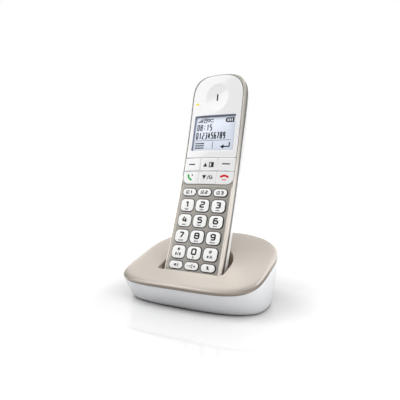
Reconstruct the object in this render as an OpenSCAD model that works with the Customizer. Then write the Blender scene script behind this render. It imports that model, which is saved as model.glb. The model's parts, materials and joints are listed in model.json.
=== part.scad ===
// Cordless telephone: a handset standing in a desk charging base. Millimetres, +Z up.
// X = 0 is the plane of symmetry, Z = 0 is the table top, and the keys face -Y.
// Places on the handset are given as [x, s, b]: s runs up along the curved key face
// from the lowest key row, and b is the depth behind that face.

/* [Handset] */
// Half of the greatest width of the handset
half_w = 25.7; // [25.5:0.1:26.5]
// Thickness from the key face to the battery side
hand_t = 26; // [25.5:0.5:27]
// Thickness near the earpiece end
hand_t_top = 23; // [22.5:0.5:25]
// Lower end of the handset, below the lowest key row
s_bottom = -15; // [-16:0.5:-14.5]
// Height along the face at which the rounded top begins
s_arc = 150; // [149:0.5:151]
// Height of the rounded top above that line
top_rise = 24.6; // [24:0.1:26]
// Squareness of the rounded top, 2 is an ellipse
top_p = 2.9; // [2.8:0.05:3]
// How much squarer the top is behind the face
top_flare = 0.5; // [0.3:0.1:0.6]
// Radius of the lengthwise curve of the key face
face_r = 720; // [700:10:900]
// Radius of the crosswise curve of the key face
crown_r = 234; // [220:10:400]
// Depth of the joint between front frame and back shell
split_b = 8; // [7.5:0.1:8.5]
// How much deeper that joint lies at the top
split_rise = 2.2; // [1.8:0.1:2.4]
// Fullness of the back's cross-section, 2 is an ellipse
back_bulge = 2.8; // [2.6:0.1:3]
// Wall of the back shell
shell_wall = 1.8; // [1.6:0.1:2]
// Thickness of the front panel and of the keypad plate
plate_t = 1.5; // [1.4:0.1:1.6]

/* [Standing pose] */
// Lean of the key face at the lowest key row, from upright
lean_bottom = 25.4; // [24.5:0.1:26]
// Y of the key face at the lowest key row
face_y = -24.3; // [-25:0.1:-24]
// Height of the lowest key row above the table
face_z = 30.2; // [30:0.1:31]

/* [Keys] */
// Pitch of the key columns
key_pitch = 14.5; // [14.3:0.1:14.7]
// Pitch of the digit rows
row_pitch = 13.65; // [13.5:0.05:13.9]
// Height of the star, zero and hash row
s_star = 11.05; // [10.9:0.05:11.2]
// Height of the memory key row
s_memory = 63.75; // [63.5:0.05:64]
// Digit key width
digit_w = 12.3; // [12:0.1:12.8]
// Digit key height
digit_h = 10.9; // [10.5:0.1:11.3]
// Height of the slim keys at both ends of the keypad
slim_h = 6.4; // [6:0.1:6.6]
// How far the keys stand out of the keypad plate
key_proud = 1; // [0.8:0.1:1.2]
// Travel of each key
key_travel = 0.7; // [0.5:0.05:0.75]
// Gap between a key and the edge of its hole
key_gap = 0.3; // [0.25:0.05:0.4]
// Lower edge of the white navigation keys
s_nav = 71.5; // [71.4:0.1:71.6]
// Joint between the two navigation rows
s_nav_mid = 83.2; // [83:0.1:83.4]
// Lower edge of the white front panel
s_panel = 95.7; // [95.6:0.1:95.9]
// Half spacing of the two upright joints between the navigation keys
nav_div = 8.2; // [8:0.1:8.4]

/* [Display and earpiece] */
// Half width of the display window
win_w = 19.8; // [19.5:0.1:20]
// Lower edge of the display window
s_win_low = 102.6; // [102.4:0.1:102.8]
// Upper edge of the display window
s_win_top = 135.3; // [134.9:0.1:135.5]
// Height of the earpiece centre
s_ear = 152.3; // [152:0.1:152.6]
// Radius of the hollow round the earpiece slit
ear_r = 12; // [11:0.1:12.2]
// Depth of that hollow
ear_depth = 1.1; // [1:0.1:1.4]
// Length of the earpiece slit
slit_l = 6.6; // [6:0.1:7]
// Width of the earpiece slit
slit_w = 1.2; // [1:0.1:1.4]
// Height of the status light
s_light = 147; // [146.6:0.1:147.4]
// Distance of the status light from the side
light_in = 6.4; // [6.2:0.1:6.7]

/* [Batteries] */
// Radius of one cell
cell_r = 5.2; // [5:0.05:5.25]
// Length of one cell
cell_l = 44.5; // [44:0.1:44.6]
// Height of the middle of the battery bay
s_bay = 64; // [63.5:0.5:64.5]
// Half width of the battery door
door_w = 16; // [15.8:0.1:16.4]
// Half length of the battery door
door_h = 28; // [27.6:0.1:28.2]

/* [Base] */
// Half of the greatest width at the rim
rim_w = 60.8; // [60:0.1:62]
// Y of the widest part
rim_y = 2.3; // [2:0.1:2.6]
// Distance from there to the front of the rim
rim_front = 54; // [53.5:0.5:55]
// Distance from there to the back of the rim
rim_back = 49.5; // [49:0.5:50.5]
// Squareness of the front corners
front_p = 4.6; // [4.2:0.1:5]
// Squareness of the back corners
back_p = 2.45; // [2.35:0.05:2.6]
// How much less far the base's foot reaches to each side than the rim
foot_inset = 0.4; // [0.2:0.1:0.8]
// Y of the foot's widest part
foot_y = -9.4; // [-9.8:0.1:-9]
// Distance from there to the front of the foot
foot_front = 31.4; // [31:0.1:32]
// Distance from there to the back of the foot
foot_back = 45.4; // [45:0.1:46]
// Squareness of the foot's front corners
foot_p = 3; // [2.9:0.05:3.1]
// How far the walls between foot and rim bulge outwards
wall_bulge = 0.7; // [0.4:0.1:1]
// Height of the joint between cover and body at Y = 0
seam_z = 30.3; // [30:0.1:30.5]
// Rise of that joint per millimetre towards the back
seam_rise = 0.231; // [0.226:0.001:0.236]
// Height of the cover's top at Y = 0
cover_z = 36; // [35.7:0.1:36.3]
// Rise of the cover's top per millimetre towards the back
cover_rise = 0.266; // [0.26:0.001:0.27]
// Drop of the cover's top towards both sides
cover_drop = 1; // [0.6:0.1:1.4]
// Wall of the base body
body_wall = 2.2; // [2:0.1:2.4]
// Wall of the cover
cover_wall = 2; // [1.8:0.1:2.2]
// Height of the rubber feet that show
foot_h = 0.6; // [0.6:0.1:1]

/* [Cradle] */
// Half width of the opening in the cover
slot_w = 29.5; // [29.2:0.1:29.8]
// Y of the front edge of the opening
slot_front = -31; // [-31.4:0.1:-30.8]
// Y at which the back arc of the opening begins
slot_mid = -14.3; // [-14.6:0.1:-14]
// Depth of that back arc
slot_arc = 33; // [32.5:0.5:33.5]
// Gap between the handset and its pocket
pocket_gap = 0.4; // [0.35:0.05:0.5]
// Wall of the cradle
well_wall = 1.8; // [1.6:0.1:2]
// Height of the cradle floor
well_z = 12; // [11.8:0.1:12.4]

/* [Hidden] */
$fn = 96;
// Smallest gap between parts that rest on each other
seat = 0.03;
// Clearance of panel, plate and window in their openings
fit = 0.12;
// Height of the crown over the outer key columns
crown_top = key_pitch * key_pitch / (2 * crown_r);
// Places along the straight sides and round the top at which the outline is set out
side_steps = [for (s = [10:20:s_arc - 15]) s];
top_steps = 8;
// Layers of the back shell, as fractions of its depth, inside and outside
inner_levels = [0, 0.3, 0.55, 0.75, 0.89, 0.965];
shell_levels = [0, 0.22, 0.42, 0.58, 0.72, 0.83, 0.91, 0.96, 0.985];
// Inset of the front panel and the keypad plate, and their half width
panel_inset = 1.5;
panel_w = half_w - panel_inset;
// X of the key columns, size and corners of the keys
column = [-key_pitch, 0, key_pitch];
slim_w = 12.4;
slim_r = 3;
digit_r = 3.3;
nav_r = 6.5;
// Radius of the domed top of the push keys
key_dome = 70;
// X of the status light
light_x = half_w - light_in;
// Layers behind the key face: flanges round the keys, rubber mat, boards
flange_b = plate_t + 0.05;
flange_t = 0.7;
flange_w = 0.6;
mat_b = flange_b + flange_t + key_travel + 1.05;
mat_t = 0.8;
board_t = 1.2;
main_b = plate_t + 4.3;
// Gap from the side of the handset to the edge of the boards, rubber mat and display
main_in = 3.7;
keypad_in = 8.7;
mat_in = 7.2;
display_in = 4.7;
// Heights of the middle of the keypad and of the display
s_keys_mid = 27;
s_disp_mid = (s_win_low + s_win_top) / 2;
// Height of the display window
win_h = s_win_top - s_win_low;
// Height of the microphone
s_mic = s_bottom + 6.6;
// Handset screws and the bosses round them
screw_x = half_w - 5.5;
screw_rows = [24, 141];
screw_r = 1;
boss_r = 3.2;
boss_b = 10.9;
head_b = 13.2;
// Battery bay: spacing and depth of the cells, inside half length and half width
bay_b = 11.2;
bay_wall = 1.2;
cell_x = cell_r + 0.5;
cell_b = inner_depth(s_bay) - 0.75 - cell_r;
bay_half_l = cell_l / 2 + 3.4;
bay_half_w = cell_x + cell_r + 0.6;
// Charging contacts: spacing, depth and running gap of the pins
pin_x = 9;
pin_b = 12;
pin_r = 1.2;
pin_gap = 0.05;
pin_travel = 1;
pin_l = well_wall + pin_travel + 2.4;
// Half width of the base's foot, base screws and feet, as [x, y]
foot_w = rim_w - foot_inset;
body_screws = [[rim_w - 16.8, -24], [rim_w - 24.8, 20]];
body_boss_r = 3.4;
foot_places = [[13.5 - foot_w, -12], [foot_w - 13.5, -12], [-25, 26], [25, 26]];
foot_r = 4;
// Floor of the base, its board and the two sockets at the back
base_floor = foot_h + 2;
jack_x = -15;
line_x = 12;
socket_z = 17;
socket_y = 24;
socket_l = 14;
socket_h = 11;
board_y = 21.5;
board_z = socket_z - 7;

// Which piece is drawn, "all" or one name of the list above

// ---------- places on the curved handset ----------
function lean(s) = lean_bottom - s * 180 / (PI * face_r);
function face_at_y(s) = face_y + face_r * (cos(lean(s)) - cos(lean_bottom));
function face_at_z(s) = face_z + face_r * (sin(lean_bottom) - sin(lean(s)));
function on_hand(x, s, b) =
    [x, face_at_y(s) + b * cos(lean(s)), face_at_z(s) - b * sin(lean(s))];
function smooth(t) = let (u = min(1, max(0, t))) u * u * (3 - 2 * u);
function thick(s) = hand_t - (hand_t - hand_t_top) * smooth((s - 96) / 50);

// Half of the handset's front outline, drawn in by o, from the bottom up
function half_outline(o, top_pull, low_pull, p, r = 5) =
    let (w = half_w - o, low = s_bottom + low_pull * o, rise = top_rise - top_pull * o)
    concat(
        [for (i = [0:3]) [w - r + r * sin(i * 30), low + r - r * cos(i * 30)]],
        [for (s = side_steps) [w, s]],
        [for (i = [0:top_steps]) let (t = i * 83 / top_steps)
            [w * pow(cos(t), 2 / p), s_arc + rise * pow(sin(t), 2 / p)]]);
function mirrored(half) =
    concat(half, [for (i = [len(half) - 1:-1:0]) [-half[i][0], half[i][1]]]);
function outline(o, top_pull = 1, low_pull = 1, p = top_p) =
    mirrored(half_outline(o, top_pull, low_pull, p));
// Depth of the joint between front frame and back shell at the height s
function split_at(s) = split_b + split_rise * smooth((s - 105) / 45);

// Half width of the back shell at the fraction u of its depth
function back_half_w(u) = (half_w - 0.3) * pow(1 - pow(u, back_bulge), 1 / back_bulge);
function back_depth(u, wall, s) =
    let (b0 = split_at(s) + 0.05) b0 + u * (thick(s) - wall - b0);
function back_ring(u, wall) =
    [for (p = outline(half_w - back_half_w(u) + wall, 0.5, 0.35, top_p + top_flare))
        on_hand(p[0], p[1], back_depth(u, wall, p[1]))];
function inner_depth(s) = back_depth(inner_levels[len(inner_levels) - 1], shell_wall, s);

// A closed skin over a list of rings with equal point counts, flat across X at both ends
module loft(rings, flip = false) {
    n = len(rings[0]);
    m = len(rings);
    sides = [for (k = [0:m - 2]) for (i = [0:n - 1])
        let (a = k * n + i, b = k * n + (i + 1) % n, c = b + n, d = a + n)
        each [[a, b, c], [a, c, d]]];
    first = [for (i = [0:n / 2 - 2]) each [[i, n - 1 - i, n - 2 - i], [i, n - 2 - i, i + 1]]];
    e = (m - 1) * n;
    last = [for (i = [0:n / 2 - 2])
        each [[e + i, e + i + 1, e + n - 2 - i], [e + i, e + n - 2 - i, e + n - 1 - i]]];
    faces = concat(sides, first, last);
    polyhedron([for (r = rings) each r],
        flip ? [for (f = faces) [f[2], f[1], f[0]]] : faces, convexity = 8);
}

// A closed ring-shaped skin, the rings follow each other round its section
module hoop(rings) {
    n = len(rings[0]);
    m = len(rings);
    faces = [for (k = [0:m - 1]) for (i = [0:n - 1])
        let (a = k * n + i, b = k * n + (i + 1) % n, k2 = (k + 1) % m,
            c = k2 * n + (i + 1) % n, d = k2 * n + i)
        each [[a, b, c], [a, c, d]]];
    polyhedron([for (r = rings) each r], faces, convexity = 8);
}

// Frame at the height s of the key face: x across, y into the handset, z up the face
module at(s) {
    translate([0, face_at_y(s), face_at_z(s)]) rotate([-lean(s), 0, 0]) children();
}

// Plan drawing in that frame, made solid between the depths b0 and b1
module plan(b0, b1) {
    translate([0, b1, 0]) rotate([90, 0, 0]) linear_extrude(b1 - b0) children();
}

// Rod along the depth
module rod(x, v, r, b0, b1) {
    translate([x, b0, v]) rotate([-90, 0, 0]) cylinder(r = r, h = b1 - b0);
}

function box_points(w, h, r) =
    [for (q = [0:3]) for (i = [0:5])
        let (t = q * 90 + i * 18, sx = (q == 0 || q == 3) ? 1 : -1, sy = q < 2 ? 1 : -1)
        [sx * (w / 2 - r) + r * cos(t), sy * (h / 2 - r) + r * sin(t)]];
module rounded(w, h, r) {
    polygon(box_points(w, h, r));
}

// Curved sheet that follows the key face between the depths b0 and b1
module face_sheet(s0, s1, b0, b1) {
    x_end = half_w + 2;
    xs = [for (i = [0:12]) -x_end + i * x_end / 6];
    profile = concat(
        [for (x = xs) [face_r - crown_top + x * x / (2 * crown_r) + b0, x]],
        [for (i = [12:-1:0]) let (x = xs[i])
            [face_r - crown_top + x * x / (2 * crown_r) + b1, x]]);
    axis_y = face_y - face_r * cos(lean_bottom);
    axis_z = face_z + face_r * sin(lean_bottom);
    translate([0, axis_y, axis_z])
        rotate(a = 120, v = [1, 1, 1])
            rotate([0, 0, -lean(s0)])
                rotate_extrude(angle = lean(s0) - lean(s1), $fn = 2880)
                    polygon(profile);
}

// ---------- keys ----------
function row_s(i) = s_star + i * row_pitch;

module push_key(x, s, w, h, r) {
    lift = x == 0 ? crown_top : 0;
    color([0.95, 0.95, 0.94])
        at(s) translate([x, -lift, 0]) {
            intersection() {
                plan(-key_proud - 0.5, flange_b + flange_t) rounded(w, h, r);
                translate([0, key_dome - key_proud, 0]) sphere(r = key_dome, $fn = 400);
            }
            plan(flange_b, flange_b + flange_t)
                rounded(w + 2 * flange_w, h + 2 * flange_w, r + 0.4);
        }
}

// Hole for one key, and behind it the recess for the key's flange
module key_hole(x, s, w, h, r) {
    lift = x == 0 ? crown_top : 0;
    at(s) translate([x, -lift, 0]) {
        plan(-3, 8) rounded(w + 2 * key_gap, h + 2 * key_gap, r + key_gap);
        plan(flange_b - 0.05, 8) rounded(w + 2 * flange_w + 0.4, h + 2 * flange_w + 0.4, r + 0.6);
    }
}

module key_holes() {
    for (x = column) {
        for (i = [0:3]) key_hole(x, row_s(i), digit_w, digit_h, digit_r);
        for (s = [0, s_memory]) key_hole(x, s, slim_w, slim_h, slim_r);
    }
}

// Field of the six navigation keys, its lower corners rounded, seen from the height s
module nav_field(s, grow) {
    translate([0, s_nav - s + 20])
        rounded(2 * (panel_w - fit + grow), 40 + 2 * grow, nav_r + grow);
}

// One navigation key: column c is -1, 0 or 1, row 1 is the upper one

module nav_key(c, row) {
    x0 = c == -1 ? -half_w : (c == 0 ? -nav_div + 0.12 : nav_div + 0.12);
    x1 = c == -1 ? -nav_div - 0.12 : (c == 0 ? nav_div - 0.12 : half_w);
    v0 = row == 1 ? 0.12 : -14;
    v1 = row == 1 ? s_panel - s_nav_mid - 0.25 : -0.12;
    under = 1.4;
    color([0.95, 0.95, 0.94])
        intersection() {
            face_sheet(s_nav - 3, s_panel + 3, 0, 2);
            at(s_nav_mid) {
                plan(-3, 1.3) intersection() {
                    nav_field(s_nav_mid, 0);
                    translate([x0, v0]) square([x1 - x0, v1 - v0]);
                }
                plan(0.2, 6) intersection() {
                    nav_field(s_nav_mid, -2);
                    translate([x0 + under, v0 + under])
                        square([x1 - x0 - 2 * under, v1 - v0 - 2 * under]);
                }
            }
        }
}

// ---------- handset front ----------
module handset_front_frame() {
    section = [[1.35, 0.8], [0.9, 0.78], [0.45, 1.05], [0.12, 1.8], [0, 3], [0, 5.6],
        [0.2, split_b], [1.9, split_b], [1.9, 3.3], [3.1, 3.3], [3.1, 2.42], [1.35, 2.42]];
    color([0.8, 0.76, 0.71]) {
        hoop([for (q = section)
            [for (p = outline(q[0], p = top_p + top_flare * smooth(q[1] / 3)))
                on_hand(p[0], p[1], q[1] + (q[1] > 4 ? split_at(p[1]) - split_b : 0))]]);
        for (s = screw_rows) for (sx = [-1, 1])
            at(s) difference() {
                union() {
                    rod(sx * screw_x, 0, boss_r, 3.2, boss_b);
                    translate([sx * (screw_x + 2) - 2, 3.2, -1.2]) cube([4, 4.3, 2.4]);
                }
                rod(sx * screw_x, 0, screw_r, 5.4, boss_b + 1);
            }
    }
}

module keypad_plate() {
    color([0.72, 0.69, 0.65])
        difference() {
            intersection() {
                face_sheet(s_bottom - 2, s_nav + 12, 0, plate_t);
                at(s_keys_mid) plan(-6, 6) difference() {
                    translate([0, -s_keys_mid]) polygon(outline(panel_inset + 0.1));
                    nav_field(s_keys_mid, 0.15);
                    translate([-40, s_nav - s_keys_mid + 4.2]) square([80, 100]);
                }
            }
            key_holes();
            at(s_mic) rod(0, 0, 0.5, -4, 6);
        }
}

module front_panel() {
    dish = (ear_r * ear_r + ear_depth * ear_depth) / (2 * ear_depth);
    color([0.96, 0.96, 0.95])
        difference() {
            union() {
                intersection() {
                    face_sheet(s_panel - 2, s_arc + top_rise + 6, 0, plate_t);
                    at(s_disp_mid) plan(-8, 8) difference() {
                        translate([0, -s_disp_mid]) polygon(outline(panel_inset + 0.1));
                        translate([-40, s_panel - s_disp_mid - 60]) square([80, 60]);
                        rounded(2 * win_w, win_h, 0.9);
                        translate([-light_x, s_light - s_disp_mid]) rounded(3.4, 1.7, 0.8);
                    }
                }
                at(s_ear) rod(0, 0, ear_r + 0.8, 0.6, ear_depth + 1.6);
            }
            at(s_ear) {
                translate([0, ear_depth - dish - crown_top, 0]) sphere(r = dish, $fn = 180);
                plan(-2, 6) rounded(slit_w, slit_l, 0.55);
            }
        }
}

module display_window() {
    color([0.75, 0.82, 0.9, 0.35])
        intersection() {
            face_sheet(s_win_low - 2, s_win_top + 2, 0.5, plate_t);
            at(s_disp_mid) plan(-4, 6)
                rounded(2 * win_w - 2 * fit, win_h - 2 * fit, 0.8);
        }
}

module display_module() {
    color([0.55, 0.6, 0.66])
        at(s_disp_mid) {
            translate([display_in - half_w, plate_t + 0.62, -win_h / 2 - 2.35])
                cube([2 * (half_w - display_in), 2.6, win_h + 4.7]);
        }
}

module display_backlight() {
    color([0.93, 0.94, 0.96])
        at(s_disp_mid) translate([display_in + 0.6 - half_w, plate_t + 3.26, -win_h / 2 - 1.65])
            cube([2 * (half_w - display_in - 0.6), 1, win_h + 3.3]);
}

module earpiece_receiver() {
    b = ear_depth + 1.6 + seat;
    color([0.25, 0.25, 0.27])
        at(s_ear) difference() {
            union() {
                rod(0, 0, 10, b, b + 3.4);
                rod(0, 0, 6.5, b + 3.4, b + 4.6);
            }
            rod(0, 0, 3.5, b - 1, b + 1.2);
        }
}

module status_light() {
    color([0.98, 0.8, 0.1])
        at(s_light) plan(0.3, 4) translate([-light_x, 0]) rounded(3.2, 1.5, 0.7);
}

// ---------- handset inside ----------
module keymat() {
    mid = s_keys_mid;
    color([0.6, 0.6, 0.62])
        union() {
            at(mid) difference() {
                translate([mat_in - half_w, mat_b, s_bottom + 4 - mid])
                    cube([2 * (half_w - mat_in), mat_t, s_nav - s_bottom - 4.5]);
                rod(0, s_mic - mid, 3.4, mat_b - 1, mat_b + 2);
                for (sx = [-1, 1])
                    rod(sx * screw_x, screw_rows[0] - mid, boss_r + 0.9, mat_b - 1, mat_b + 2);
            }
            for (i = [0:3]) for (x = column) dome(x, row_s(i));
            for (s = [0, s_memory]) for (x = column) dome(x, s);
        }
}

module dome(x, s) {
    lift = x == 0 ? crown_top : 0;
    at(s) translate([0, -lift, 0])
        rod(x, 0, 2, flange_b + flange_t + key_travel + seat,
            mat_b + 0.4 + lift + pow(s - s_keys_mid, 2) / (2 * face_r));
}

module keypad_board() {
    color([0.1, 0.35, 0.2])
        at(s_keys_mid) difference() {
            translate([keypad_in - half_w, mat_b + mat_t + seat, s_bottom + 3.5 - s_keys_mid])
                cube([2 * (half_w - keypad_in), board_t, s_nav - s_bottom - 4]);
            for (sx = [-1, 1])
                rod(sx * screw_x, screw_rows[0] - s_keys_mid, boss_r + 0.9, 0, 10);
        }
}

module main_board() {
    color([0.1, 0.35, 0.2])
        at(s_disp_mid) difference() {
            translate([main_in - half_w, main_b, s_nav + 4.45 - s_disp_mid])
                cube([2 * (half_w - main_in), board_t, s_win_top - s_nav + 1.2]);
            for (sx = [-1, 1]) for (s = screw_rows)
                rod(sx * screw_x, s - s_disp_mid, boss_r + 0.9, 0, 16);
        }
}

module shield_can() {
    color([0.75, 0.76, 0.78])
        at(s_disp_mid) difference() {
            translate([-15, main_b + board_t + seat, -12]) cube([30, 3, 24]);
            translate([-14.6, main_b + board_t + seat - 1, -11.6]) cube([29.2, 3.6, 23.2]);
        }
}

module microphone() {
    color([0.7, 0.7, 0.72])
        at(s_mic) rod(0, 0, 3, plate_t + seat - crown_top, plate_t + 2.4);
}

module ringer_speaker() {
    top = inner_depth(127) + 0.2;
    color([0.25, 0.25, 0.27])
        at(118) difference() {
            union() {
                rod(0, 0, 9, top - 3.4, top - 0.4);
                rod(0, 0, 6, top - 5, top - 3.4);
            }
            rod(0, 0, 7.4, top - 1.2, top + 1);
        }
}

module battery_bay() {
    color([0.85, 0.85, 0.84])
        at(s_bay) difference() {
            translate([-bay_half_w - bay_wall, bay_b, -bay_half_l - bay_wall])
                cube([2 * (bay_half_w + bay_wall), 10.8, 2 * (bay_half_l + bay_wall)]);
            translate([-bay_half_w, bay_b + bay_wall, -bay_half_l])
                cube([2 * bay_half_w, 20, 2 * bay_half_l]);
        }
}

module cell(x, up) {
    at(s_bay) translate([x, cell_b, 0]) rotate([up > 0 ? 0 : 180, 0, 0]) {
        translate([0, 0, -cell_l / 2]) cylinder(r = cell_r, h = cell_l - 0.8);
        translate([0, 0, cell_l / 2 - 0.8]) cylinder(r = 1.9, h = 0.8);
    }
}

module battery_left() {
    color([0.3, 0.55, 0.35]) cell(-cell_x, 1);
}

module battery_right() {
    color([0.3, 0.55, 0.35]) cell(cell_x, -1);
}

// Two coil springs and two buttons that hold the cells
module battery_contacts() {
    reach = bay_half_l - cell_l / 2;
    color([0.8, 0.8, 0.82])
        at(s_bay)
            for (sx = [-1, 1]) {
                translate([sx * cell_x, cell_b, -sx * cell_l / 2]) rotate([sx < 0 ? 0 : 180, 0, 0]) {
                    translate([0, 0, seat]) cylinder(r = 3, h = reach - 0.5 - seat);
                    translate([-4, -4, reach - 0.5]) cube([8, 8, 0.47]);
                }
                translate([sx * cell_x, cell_b, sx * cell_l / 2]) rotate([sx < 0 ? 180 : 0, 0, 0]) {
                    translate([0, 0, seat]) cylinder(r = 2.4, h = reach - 0.5 - seat);
                    translate([-4, -4, reach - 0.5]) cube([8, 8, 0.47]);
                }
            }
}

// ---------- handset back ----------
module back_skin() {
    outer = [for (i = [len(shell_levels) - 1:-1:0]) back_ring(shell_levels[i], 0)];
    inner = [for (u = inner_levels) back_ring(u, shell_wall)];
    loft(concat(outer, inner), flip = true);
}

module door_plan(grow) {
    at(s_bay) plan(14, hand_t + 4) rounded(2 * door_w + 2 * grow, 2 * door_h + 2 * grow, 4 + grow);
}

module handset_back_shell() {
    color([0.95, 0.95, 0.95])
        difference() {
            union() {
                back_skin();
                for (s = screw_rows) for (sx = [-1, 1])
                    at(s) rod(sx * screw_x, 0, boss_r, boss_b + 0.1, 14.6);
            }
            door_plan(key_gap);
            for (s = screw_rows) for (sx = [-1, 1])
                at(s) {
                    rod(sx * screw_x, 0, screw_r + 0.2, boss_b - 1, head_b + 1);
                    rod(sx * screw_x, 0, 2.5, head_b, hand_t);
                }
            for (i = [0:6])
                at(118) rod(i == 0 ? 0 : 3 * cos(i * 60), i == 0 ? 0 : 3 * sin(i * 60), 0.8, 16, 30);
            for (sx = [-1, 1])
                at(s_bottom) translate([sx * pin_x - 4.1, pin_b - 2.6, -1]) cube([8.2, 5.2, 3.6]);
        }
}

module battery_door() {
    color([0.93, 0.93, 0.93])
        intersection() {
            back_skin();
            door_plan(0);
        }
}

module handset_charge_pads() {
    color([0.85, 0.8, 0.6])
        for (sx = [-1, 1])
            at(s_bottom) translate([sx * pin_x - 4, pin_b - 2.5, 0.03]) cube([8, 5, 1.4]);
}

module handset_screws() {
    color([0.6, 0.6, 0.62])
        for (s = screw_rows) for (sx = [-1, 1])
            at(s) difference() {
                union() {
                    rod(sx * screw_x, 0, screw_r - 0.05, 6, head_b + 1);
                    rod(sx * screw_x, 0, 2.2, head_b + seat, head_b + 1.6);
                }
                rod(sx * screw_x, 0, 0.8, head_b + 0.8, head_b + 2);
            }
}

module soft_key_left() {
    nav_key(-1, 1);
}

module up_key() {
    nav_key(0, 1);
}

module soft_key_right() {
    nav_key(1, 1);
}

module talk_key() {
    nav_key(-1, 0);
}

module down_key() {
    nav_key(0, 0);
}

module end_key() {
    nav_key(1, 0);
}

module memory_key(i) {
    push_key(column[i - 1], s_memory, slim_w, slim_h, slim_r);
}

module digit_key(n) {
    push_key(column[(n - 1) % 3], row_s(3 - floor((n - 1) / 3)), digit_w, digit_h, digit_r);
}

module star_key() {
    push_key(-key_pitch, s_star, digit_w, digit_h, digit_r);
}

module digit_key_0() {
    push_key(0, s_star, digit_w, digit_h, digit_r);
}

module hash_key() {
    push_key(key_pitch, s_star, digit_w, digit_h, digit_r);
}

module foot_key(i) {
    push_key(column[i], 0, slim_w, slim_h, slim_r);
}

// ---------- base ----------
// Half of an egg-shaped outline from the front round to the back
function egg(w, y, front, back, p_front, p_back) =
    [for (i = [0:23]) let (t = 3 + i * 174 / 23, p = t < 90 ? p_front : p_back)
        [w * pow(sin(t), 2 / p),
         y + (t < 90 ? -front : back) * pow(abs(cos(t)), 2 / p)]];
function rim_half(o) = egg(rim_w - o, rim_y, rim_front - o, rim_back - o, front_p, back_p);
function foot_half(o) = egg(foot_w - o, foot_y, foot_front - o, foot_back - o, foot_p, 2.2);
function seam_at(y) = seam_z + seam_rise * y;
function cover_at(x, y) = cover_z + cover_rise * y - cover_drop * x * x / (rim_w * rim_w);
function mix(a, b, t) = a * (1 - t) + b * t;

// Ring of the base body at the fraction t between foot and seam
function body_ring(o, t, z0) =
    let (in = o - wall_bulge * 4 * t * (1 - t), low = mirrored(foot_half(in)),
        high = mirrored(rim_half(in)))
    [for (i = [0:len(low) - 1]) let (x = mix(low[i][0], high[i][0], t),
            y = mix(low[i][1], high[i][1], t))
        [x, y, mix(z0, seam_at(y) - seat / 2, t)]];
// Rings of the cover, drawn in by o: above the seam, and below the top
function low_ring(o, up) =
    [for (p = mirrored(rim_half(o))) [p[0], p[1], seam_at(p[1]) + seat / 2 + up]];
function top_ring(o, down) =
    [for (p = mirrored(rim_half(o))) [p[0], p[1], cover_at(p[0], p[1]) - down]];
function cover_inner(o, f, down) =
    [for (p = mirrored(rim_half(o))) let (x = p[0] * f, y = rim_y + (p[1] - rim_y) * f)
        [x, y, cover_at(x, y) - down]];

// Outline of the opening in the cover, drawn out by g
module slot_outline(g) {
    r = 4.5;
    w = slot_w + g;
    polygon(concat(
        [for (i = [0:4]) [w - r + r * sin(i * 22.5), slot_front - g + r - r * cos(i * 22.5)]],
        [for (i = [0:20]) [w * cos(i * 9), slot_mid + (slot_arc + g) * sin(i * 9)]],
        [for (i = [4:-1:0]) [-w + r - r * sin(i * 22.5), slot_front - g + r - r * cos(i * 22.5)]]));
}

module base_cover() {
    edge = [[9.5, 0], [6, 0.15], [3.4, 0.5], [1.3, 1.2], [0.1, 2.2]];
    outer = concat(
        [for (f = [0.12, 0.34, 0.56, 0.78]) cover_inner(9.5, f, 0)],
        [for (e = edge) top_ring(e[0], e[1])],
        [low_ring(-0.25, 0.6), low_ring(0, 0)]);
    inner = concat(
        [low_ring(cover_wall, 0), low_ring(cover_wall + 0.4, 0.6)],
        [top_ring(5.5, cover_wall + 0.8), top_ring(10, cover_wall)],
        [for (f = [0.7, 0.4, 0.12]) cover_inner(10, f, cover_wall)]);
    color([0.8, 0.76, 0.72])
        difference() {
            union() {
                loft(concat(outer, inner));
                for (p = body_screws) for (sx = [-1, 1])
                    translate([sx * p[0], p[1], base_floor + seat])
                        cylinder(r = body_boss_r, h = cover_at(p[0], p[1]) - base_floor - 1.2);
            }
            translate([0, 0, -1]) linear_extrude(80) slot_outline(0);
            for (p = body_screws) for (sx = [-1, 1])
                translate([sx * p[0], p[1], 0]) cylinder(r = 1.2, h = base_floor + 9);
        }
}

// Section of the lower end of the handset, drawn out by g
module hand_section(g) {
    polygon(mirrored(concat(
        [for (x = [4, 12, 20, 24.4]) [x + g / 2, x * x / (2 * crown_r) - crown_top - g]],
        [[half_w - 0.2 + g, 0.7], [half_w + g, 1.8], [half_w + g, split_b]],
        [for (u = [0.2, 0.4, 0.55, 0.7, 0.82, 0.92, 0.985])
            [back_half_w(u) + g, split_b + u * (hand_t - split_b) + g]])));
}

module cradle_well() {
    s_floor = s_bottom - seat;
    s_rim = s_bottom + 8;
    color([0.62, 0.57, 0.52])
        difference() {
            union() {
                difference() {
                    translate([0, 0, well_z - well_wall])
                        intersection() {
                            linear_extrude(60) slot_outline(well_wall);
                            loft(under_cover(), flip = true);
                        }
                    translate([0, 0, well_z]) linear_extrude(60) slot_outline(-0.02);
                }
                intersection() {
                    at(s_floor) translate([0, 0, -well_wall])
                        linear_extrude(s_rim - s_floor + well_wall) hand_section(pocket_gap + well_wall);
                    translate([-50, -60, base_floor + 0.4]) cube([100, 100, 60]);
                }
            }
            at(s_floor) linear_extrude(s_rim - s_floor + 30) hand_section(pocket_gap);
            for (sx = [-1, 1])
                at(s_floor) translate([sx * pin_x, pin_b, -9]) {
                    cylinder(r = pin_r + pin_gap, h = 12);
                    cylinder(r = pin_r + 1, h = 9 - well_wall);
                }
        }
}

// Space below the cover, as rings from low to high, lowered by the cradle's floor height
function under_cover() =
    [for (k = [0, 1]) [for (p = mirrored(rim_half(12)))
        [p[0], p[1], k == 0 ? 0 : cover_at(p[0], p[1]) - cover_wall - seat - well_z + well_wall]]];

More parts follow.
